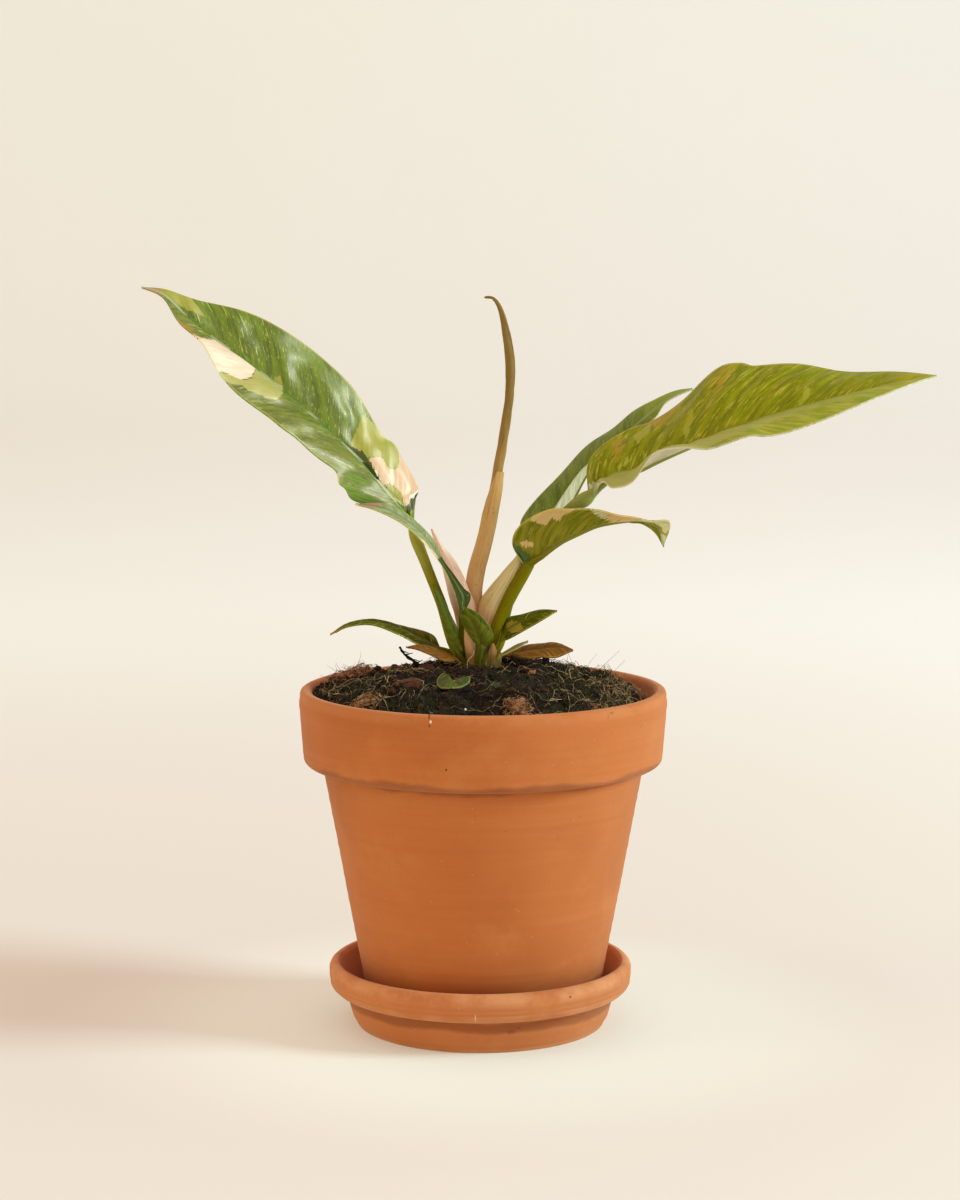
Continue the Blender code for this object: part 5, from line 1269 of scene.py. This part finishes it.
def thread_finish(name, dark, light):
    """Plant fibre whose shade drifts from thread to thread."""
    w = Finish(name, 0.75, Specular_IOR_Level=0.3)
    return w.done(w.mix(w.rise(w.cloud(w.object_place(), 420.0, 3.0, 0.6), 0.35, 0.65), dark, light))


def threads(name, slot, lines, thickness, dark, light):
    """Many thin strands as one mesh; each line is a list of (x, y, z, share of the thickness)."""
    curve = bpy.data.curves.new(name, "CURVE")
    curve.dimensions = "3D"
    curve.bevel_depth = thickness * MM
    curve.bevel_resolution = 0
    curve.use_fill_caps = True
    for points in lines:
        spline = curve.splines.new("POLY")
        spline.points.add(len(points) - 1)
        for knot, (x, y, z, share) in zip(spline.points, points):
            knot.co = (x * MM, y * MM, z * MM, 1)
            knot.radius = share
    drawn = bpy.data.objects.new(name + "_drawn", curve)
    bpy.context.scene.collection.objects.link(drawn)
    bpy.context.view_layer.update()
    mesh = bpy.data.meshes.new_from_object(drawn.evaluated_get(bpy.context.evaluated_depsgraph_get()))
    bpy.data.objects.remove(drawn, do_unlink=True)
    mesh.name = name
    mesh.materials.clear()
    mesh.materials.append(thread_finish(name + "_fibre", dark, light))
    shown(name, mesh, slot)
    print(name, len(lines), "strands,", len(mesh.polygons), "faces")


THREAD_LIFT = 0.15    # mm that a thread lies above the soil
THREAD_STEPS = 9


def wander(x, y, length, lift, curl, girth=1.0):
    """A thread that wanders over the soil; lift is how high its middle may stand."""
    heading = chance.uniform(0, 2 * math.pi)
    points = []
    for k in range(THREAD_STEPS + 1):
        out = math.hypot(x - AXIS_X, y)
        limit = pot_inside(SOIL_EDGE_Z) - 1.5
        if out > limit:
            x, y = AXIS_X + (x - AXIS_X) * limit / out, y * limit / out
            heading += 1.2
        z = ground(x, y) + THREAD_LIFT + lift * math.sin(math.pi * k / THREAD_STEPS)
        points.append((x, y, z, girth * (1 - 0.5 * k / THREAD_STEPS)))
        heading += chance.uniform(-curl, curl)
        x += math.cos(heading) * length / THREAD_STEPS
        y += math.sin(heading) * length / THREAD_STEPS
    return points


def nest(x, y, radius, height):
    """A thread curled up inside a low ball."""
    turn, tilt = chance.uniform(0, 6.3), chance.uniform(0, 3.1)
    points = []
    base = ground(x, y)
    for k in range(THREAD_STEPS + 1):
        turn += chance.uniform(0.2, 0.9)
        tilt += chance.uniform(-0.5, 0.5)
        reach = radius * chance.uniform(0.75, 1.0)
        spot = (x + reach * math.cos(turn) * math.cos(tilt), y + reach * math.sin(turn) * math.cos(tilt))
        points.append((*spot, base + abs(math.sin(tilt)) * height + 0.1, 1 - 0.4 * k / THREAD_STEPS))
    return points


def strewn(count, x, y, length, lift, curl, girth=1.0):
    """Loose threads round a place; x and y are a middle and a spread, length is a range."""
    return [wander(chance.gauss(*x), chance.gauss(*y), chance.uniform(*length), lift, curl, girth=girth)
            for _ in range(count)]


def nests(count, x, y, radius, height):
    return [nest(chance.gauss(*x), chance.gauss(*y), chance.uniform(*radius), height) for _ in range(count)]


coir = [wander(*on_soil(), chance.uniform(6, 20), chance.choice((0.3, 0.8, 2.2)), 0.8) for _ in range(200)]
coir += strewn(30, (-46, 9), (-14, 16), (8, 24), 2.2, 0.8)
coir += strewn(60, (51, 6), (-12, 12), (7, 16), 3.2, 0.9)
for middle in (-40, 36, 44):
    coir += strewn(16, (middle, 10), (-20, 16), (10, 22), 2.6, 0.6, girth=1.6)
threads("coir_pale", "twig", coir, 0.09, "#3a2814", "#c8a670")
dark_coir = [wander(*on_soil(), chance.uniform(4, 12), chance.choice((0.3, 1.0, 2.0)), 0.9)
             for _ in range(900)]
threads("coir_dark", "twig", dark_coir, 0.1, "#120a06", "#4c341c")
tan_nest = nests(190, (13.5, 2.6), (-53.5, 1.5), (1.2, 2.8), 2.6)
tan_nest += nests(100, (-42, 2.6), (-40, 2.0), (1.2, 2.4), 2.0)
tan_nest += nests(60, (46, 4.5), (-36, 2.5), (1.2, 2.4), 1.4)
threads("coir_nests", "twig", tan_nest, 0.09, "#7c4822", "#dca672")
threads("coir_red", "twig", nests(170, (-50, 5.0), (8, 5.0), (1.5, 4.0), 2.4), 0.09, "#70381e", "#dc9c72")

# %% [markdown]
# Moss grows in tufts of short upright sprigs, brightest on the right of the mound. A few thin
# root hairs hang round the stem, and single fibres stand up at the pot's edge on both sides.

# %% Moss and hairs
# each tuft: its middle in mm, its width and how many sprigs it has
MOSS_TUFTS = ((33, -25, 12, 700), (40, -8, 11, 560), (26, -42, 11, 460), (-33, -44, 14, 560),
              (-16, -50, 11, 500), (-50, -14, 12, 460), (8, -22, 11, 300), (48, 4, 8, 300),
              (-34, 8, 11, 260), (20, 30, 16, 300), (-20, 36, 16, 260), (52, -22, 9, 380),
              (-45, -30, 10, 300))
# each fibre: its foot, how far it leans to the right and away, its height and its bend
STANDING_FIBRES = ((-50, 14, 4, -3, 11, 1.2), (-53, 8, -6, 2, 5, 0.6), (-47, 20, 1, 0, 7, 0.2),
                   (-56, 4, -5, -4, 4, 0.5), (44, 8, 9, -2, 9, 0.6), (40, 12, 5, 3, 8, -0.5),
                   (48, 0, 7, 2, 7, 0.4), (36, 16, -3, 2, 8, 0.3), (33, 18, 1, 1, 6, 0.1))
ROOT_REACH, ROOT_COUNT = 7.0, 12


def sprig(x, y, tall, lean):
    """A tapering sprig of moss."""
    turn = chance.uniform(0, 6.3)
    dx, dy = math.cos(turn) * lean, math.sin(turn) * lean
    z = ground(x, y) - 0.1
    return [(x, y, z, 1.0), (x + dx * 0.35, y + dy * 0.35, z + tall * 0.6, 0.8),
            (x + dx, y + dy, z + tall, 0.25)]


def standing(x, y, dx, dy, tall, bend):
    """A fibre that stands up out of the soil and leans over."""
    z = ground(x, y) - 0.5
    return [(x + dx * t + bend * math.sin(3 * t), y + dy * t, z + tall * t * (1.25 - 0.25 * t), 1 - 0.6 * t)
            for t in np.linspace(0, 1, 8)]


def root_hair():
    """A hair that hangs from the stem to the soil."""
    turn = chance.uniform(0, 6.3)
    cosine, sine = math.cos(turn), math.sin(turn)
    x, y = STEM_X + ROOT_REACH * cosine, STEM_Y + ROOT_REACH * sine
    drift, top = chance.uniform(2, 7), chance.uniform(138, 143)
    fall = ground(x + drift * cosine, y + drift * sine) - top
    return [(x + drift * t * cosine + 0.5 * math.sin(7 * t), y + drift * t * sine, top + fall * t,
             1 - 0.4 * t) for t in np.linspace(0, 1, 8)]


moss_lines = []
for tuft_x, tuft_y, spread, count in MOSS_TUFTS:
    for _ in range(count):
        x, y = chance.gauss(tuft_x, spread * 0.5), chance.gauss(tuft_y, spread * 0.5)
        if math.hypot(x - AXIS_X, y) < pot_inside(SOIL_EDGE_Z) - 2.5:
            moss_lines.append(sprig(x, y, chance.uniform(0.6, 1.8), chance.uniform(0.4, 1.8)))
threads("moss", "potting_soil", moss_lines, 0.11, "#141a08", "#444c20")
sprouts = [sprig(chance.gauss(5.3, 1.2), chance.gauss(-38.2, 1.2), chance.uniform(1.5, 2.6), 1.6)
           for _ in range(34)]
sprouts += [sprig(chance.gauss(-20, 1.4), chance.gauss(-38, 1.4), chance.uniform(0.8, 1.8), 1.2)
            for _ in range(16)]
threads("moss_sprouts", "potting_soil", sprouts, 0.13, "#3c4c20", "#8a945c")
hairs = [standing(*fibre) for fibre in STANDING_FIBRES]
hairs += [standing(chance.gauss(-50, 5), chance.gauss(12, 5), chance.uniform(-4, 4), chance.uniform(-4, 4),
                   chance.uniform(2, 6), chance.uniform(-1, 1)) for _ in range(40)]
hairs += [standing(chance.gauss(52, 3), chance.gauss(-12, 8), chance.uniform(-3, 3), chance.uniform(-4, 4),
                   chance.uniform(1.5, 5), chance.uniform(-1, 1)) for _ in range(60)]
threads("fine_hairs", "twig", hairs, 0.1, "#7a4a2c", "#b98d5c")
roots = [root_hair() for _ in range(ROOT_COUNT)]
front_fall = ground(-6, -18) - 145.5
roots.append([(-2.5 - 3.4 * t + 0.5 * math.sin(9 * t), -9 - 9 * t, 145.5 + front_fall * t**0.8, 1 - 0.4 * t)
              for t in np.linspace(0, 1, 10)])
threads("root_hairs", "stem_green", roots, 0.1, "#8c7450", "#d3c09c")

# %% [markdown]
# The stem is short and almost hidden by old leaf bases, overlapping scales in tan and green.
# The CAD stem stays as it is and gets a fibrous skin; the scales are added round it.

# %% Stem and leaf bases
# each scale: the turn round the stem in degrees, foot radius, top radius, height, width, finish
SCALE_GREEN = fibrous_finish("scale_green", "#5e5418", "#4e5a12", (2.0, 9.0), "#2c300a", 21.0, fine=3.5)
SCALE_TAN = fibrous_finish("scale_tan", "#6e5828", "#9a6e3c", (4.0, 11.0), "#4a3014", 22.0, fine=3.5)
SCALES = ((-95, 7.6, 8.6, 11, 3.0, SCALE_TAN), (-72, 7.6, 9.2, 9, 2.2, SCALE_GREEN),
          (-52, 7.9, 11.0, 12, 3.0, SCALE_TAN), (-125, 7.8, 9.0, 9, 2.8, SCALE_GREEN),
          (-150, 7.9, 10.5, 8, 2.8, SCALE_TAN), (-15, 7.9, 10.0, 8, 2.8, SCALE_TAN),
          (60, 7.9, 9.5, 9, 3.0, SCALE_TAN), (120, 7.9, 9.5, 10, 3.0, SCALE_GREEN))
SCALE_FOOT_Z = 135.5
# each ring of a scale: the share of its height, the share of its width and half its wrap in degrees
SCALE_RINGS = ((0.0, 1.0, 75), (0.4, 1.0, 72), (0.75, 0.75, 66), (1.0, 0.2, 50))


def stem_finish():
    w = Finish("stem_skin", 0.6)
    bands = w.cloud(w.stretched(w.object_place(), 60.0, 60.0, 500.0), 1.0, 3.0)
    return w.done(w.mix(w.rise(bands, 0.4, 0.62), "#3c3a12", "#6c5830"), bands, 0.6, 0.0006)


def leaf_scale(number, degrees, foot, top, tall, wide, skin):
    """A scale that stands on the soil and leans against the stem."""
    out = Vector((math.cos(math.radians(degrees)), math.sin(math.radians(degrees)), 0))
    axis = []
    for t, girth, angle in SCALE_RINGS:
        spot = out * (foot + (top - foot) * t - wide)
        axis.append((STEM_X + spot.x, STEM_Y + spot.y, SCALE_FOOT_Z + tall * t, wide * girth, angle))
    wrapped(f"leaf_scale_{number}", "stem_green", skin, axis, -out, rows=20, columns=14, thickness=0.45,
            ribs=0.05, crumple=0.2)


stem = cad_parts["stem"]
stem.data.materials.clear()
stem.data.materials.append(stem_finish())
for number, scale in enumerate(SCALES):
    leaf_scale(number, *scale)

# %% [markdown]
# Three larger chips of bark and two twigs lie on the soil. Chips are boxy icospheres roughened
# with noise, twigs are stalks with knots and a few side shoots.

# %% Chips and twigs
CHIPS = {"bark_left": ((-27, -30, 1.0), (4.6, 2.6, 1.5), 25, ("#3a1c10", "#74462e")),
         "bark_rear": ((-20, -8, 0.8), (3.2, 2.0, 1.2), -15, ("#3a2016", "#6e4634")),
         "bark_orange": ((19, -20, 0.7), (2.0, 0.9, 0.6), 62, ("#6a3a1e", "#b07a4c"))}
TWIGS = {"twig_left": ((-31, 2, 8.0), (-28, 1, 4.0), (-22.5, -1, 1.0), (-18, -3, -1.5)),
         "twig_right": ((11.7, -10, 5.0), (13.4, -12.8, 3.2), (15, -16, 1.6), (16.6, -19.5, 0.4))}
# each side shoot: the twig's point it grows from and how far it reaches in mm
SHOOTS = ((4, 2.6, 0.5, -0.6), (7, 3.2, -0.5, 0.8), (9, -1.5, -1.0, 1.6), (11, 3.4, -1.2, -0.4),
          (14, 2.6, 0.8, 1.2), (16, -1.8, 0.6, 1.2))
TWIG_POINTS = 26
TWIG_SKIN = fibrous_finish("twig_skin", "#1c120c", "#2c1c12", (2.0, 12.0), "#0e0906", 31.0, rough=0.8)


def chip(name):
    (x, y, above), size, degrees, shades = CHIPS[name]
    centre = Vector((x, y, soil_height(x, y) + above))
    turn = Matrix.Rotation(math.radians(degrees), 3, "Z")
    bm = bmesh.new()
    shade = bm.verts.layers.float.new("shade")
    bmesh.ops.create_icosphere(bm, subdivisions=5, radius=1.0)
    for vert in bm.verts:
        boxed = Vector(math.copysign(abs(c)**0.5, c) for c in vert.co)
        rough = 1 + 0.3 * noise.noise(vert.co * 1.3 + Vector((x, y, 0))) + 0.07 * noise.noise(vert.co * 7.0)
        vert[shade] = 0.5 + 0.6 * noise.noise(Vector((vert.co.x * 2, vert.co.y * 9, vert.co.z * 4)))
        taper = (1.0, 1 + 0.3 * boxed.x, 1 + 0.45 * boxed.x)
        vert.co = (centre + turn @ Vector(boxed[k] * size[k] * rough * taper[k] for k in range(3))) * MM
    settle(name + "_flake", bm, [lump_finish(name + "_skin", *shades)], 50, "bark", name)


def twig(name):
    bm = bmesh.new()
    place = bm.verts.layers.float_vector.new("place")
    path = smooth_line([(x, y, soil_height(x, y) + above) for x, y, above in TWIGS[name]], TWIG_POINTS)
    knots = np.array([1 + 0.6 * noise.noise((k * 0.9, 1.3, 0)) for k in range(TWIG_POINTS)])
    radii = np.linspace(0.4, 0.9, TWIG_POINTS) * knots
    path[:, 0] += [0.5 * noise.noise((k * 0.4, 5.1, 0)) for k in range(TWIG_POINTS)]
    stalk(bm, path, radii, radii, (0, 1, 0), place, 0.0, 0, 10)
    for k, dx, dy, dz in SHOOTS:
        steps = np.linspace(0, 1, 6)[:, None]
        shoot = path[k] + steps * (dx, dy, dz) + np.sin(steps * 5) * (0.2, 0.3, 0)
        thin = np.linspace(0.3, 0.12, 6)
        stalk(bm, shoot, thin, thin, (0.3, 1, 0.2), place, 0.0, 0, 6)
    settle(name + "_branch", bm, [TWIG_SKIN], 60, "twig", name)


for name in CHIPS:
    chip(name)
for name in TWIGS:
    twig(name)


# %% [markdown]
# The photograph was taken on a cream paper sweep. A wide bowl, one outline spun round the
# object, gives the same seamless ground from every side. A warm light comes from all round, and
# a low, cooler softbox from the right throws the long soft shadow to the left. A weak one on the
# left lightens that shadow a little. The paper also glows: painted light, which lifts the shadow
# close beside the pot, more on the left, and grows further off, more on the right.

# %% Sweep and lights
SWEEP_FLOOR, SWEEP_BEND, SWEEP_TOP = 4.2, 1.2, 1.6       # metres
AIM = Vector((0, 0, 0.13))                               # where both softboxes point
FILL_COLOUR, FILL_STRENGTH = (0.97, 0.78, 0.71), 0.81
# each light: degrees to the front, degrees up, distance and size in metres, watts, colour
SOFTBOXES = {"key": (12.0, 23.0, 2.6, 0.75, 57.0, (0.62, 0.93, 1.0)),
             "left": (165.0, 14.0, 1.9, 0.9, 5.0, (0.9, 1.0, 0.4))}
# painted light that the paper gives off: near the pot on both sides, and further off on both sides
GLOW_RIGHT, GLOW_LEFT = (0.08, 0.15, 0.13, 1), (0.13, 0.18, 0.15, 1)
FAR_LEFT, FAR_RIGHT = (0.125, 0.185, 0.17, 1), (0.155, 0.25, 0.265, 1)


def make_sweep():
    bm = bmesh.new()
    bend = [(SWEEP_FLOOR + SWEEP_BEND * math.sin(a), SWEEP_BEND * (1 - math.cos(a)))
            for a in np.linspace(0, math.pi / 2, 14)]
    outline = [(0, 0), *bend, (bend[-1][0], SWEEP_TOP)]
    row = [bm.verts.new((radius, 0, height)) for radius, height in outline]
    spun(bm, row, 0.0, 96)
    bmesh.ops.reverse_faces(bm, faces=bm.faces)
    w = Finish("sweep_paper", 0.9, Specular_IOR_Level=0.1, Emission_Strength=1.0)
    place = w.object_place()
    far, across = w.vector("LENGTH", place, output="Value"), w.split(place)[0]
    glow = w.mix(w.rise(across, 0.06, -0.08), GLOW_RIGHT, GLOW_LEFT)
    near = w.mix(w.rise(far, 0.18, 0.06), "#000000", glow)
    away = w.mix(w.rise(across, -1.4, 1.4), FAR_LEFT, FAR_RIGHT)
    # painted light: the paper's glow near the pot and further off
    w.feed(w.surface["Emission Color"], w.mix(w.rise(far, 0.15, 1.4), near, away))
    return settle("sweep", bm, [w.done(w.mix(w.cloud(place, 3.0), "#ede5da", "#efe7dc"))], 80, None)


def softbox(name, azimuth, height, distance, size, power, colour):
    """A square light that faces the plant; azimuth is counted from the right to the front."""
    light = bpy.data.lights.new(name, "AREA")
    light.shape = "SQUARE"
    light.size = size
    light.energy = power
    light.color = colour
    made = bpy.data.objects.new(name, light)
    turn, rise = math.radians(azimuth), math.radians(height)
    level = distance * math.cos(rise)
    towards = Vector((math.cos(turn) * level, -math.sin(turn) * level, distance * math.sin(rise)))
    made.location = AIM + towards
    made.rotation_euler = (AIM - made.location).to_track_quat("-Z", "Y").to_euler()
    made.visible_camera = False
    bpy.context.scene.collection.objects.link(made)


sweep = make_sweep()
for name, light in SOFTBOXES.items():
    softbox(name, *light)
world = bpy.data.worlds.new("studio")
world.use_nodes = True
background = world.node_tree.nodes["Background"].inputs
background["Color"].default_value = (*FILL_COLOUR, 1)
background["Strength"].default_value = FILL_STRENGTH
bpy.context.scene.world = world

# %% [markdown]
# Every piece rides on the part's one body. The CAD nodes that pieces repeat are hidden.

# %% Riding on the frame
for piece, slot, node in pieces:
    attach(piece, "root")
    if node:
        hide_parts(node)
dressed = sum(node is not None for _, _, node in pieces)
print(dressed, "nodes dressed,", len(pieces) - dressed, "pieces added")
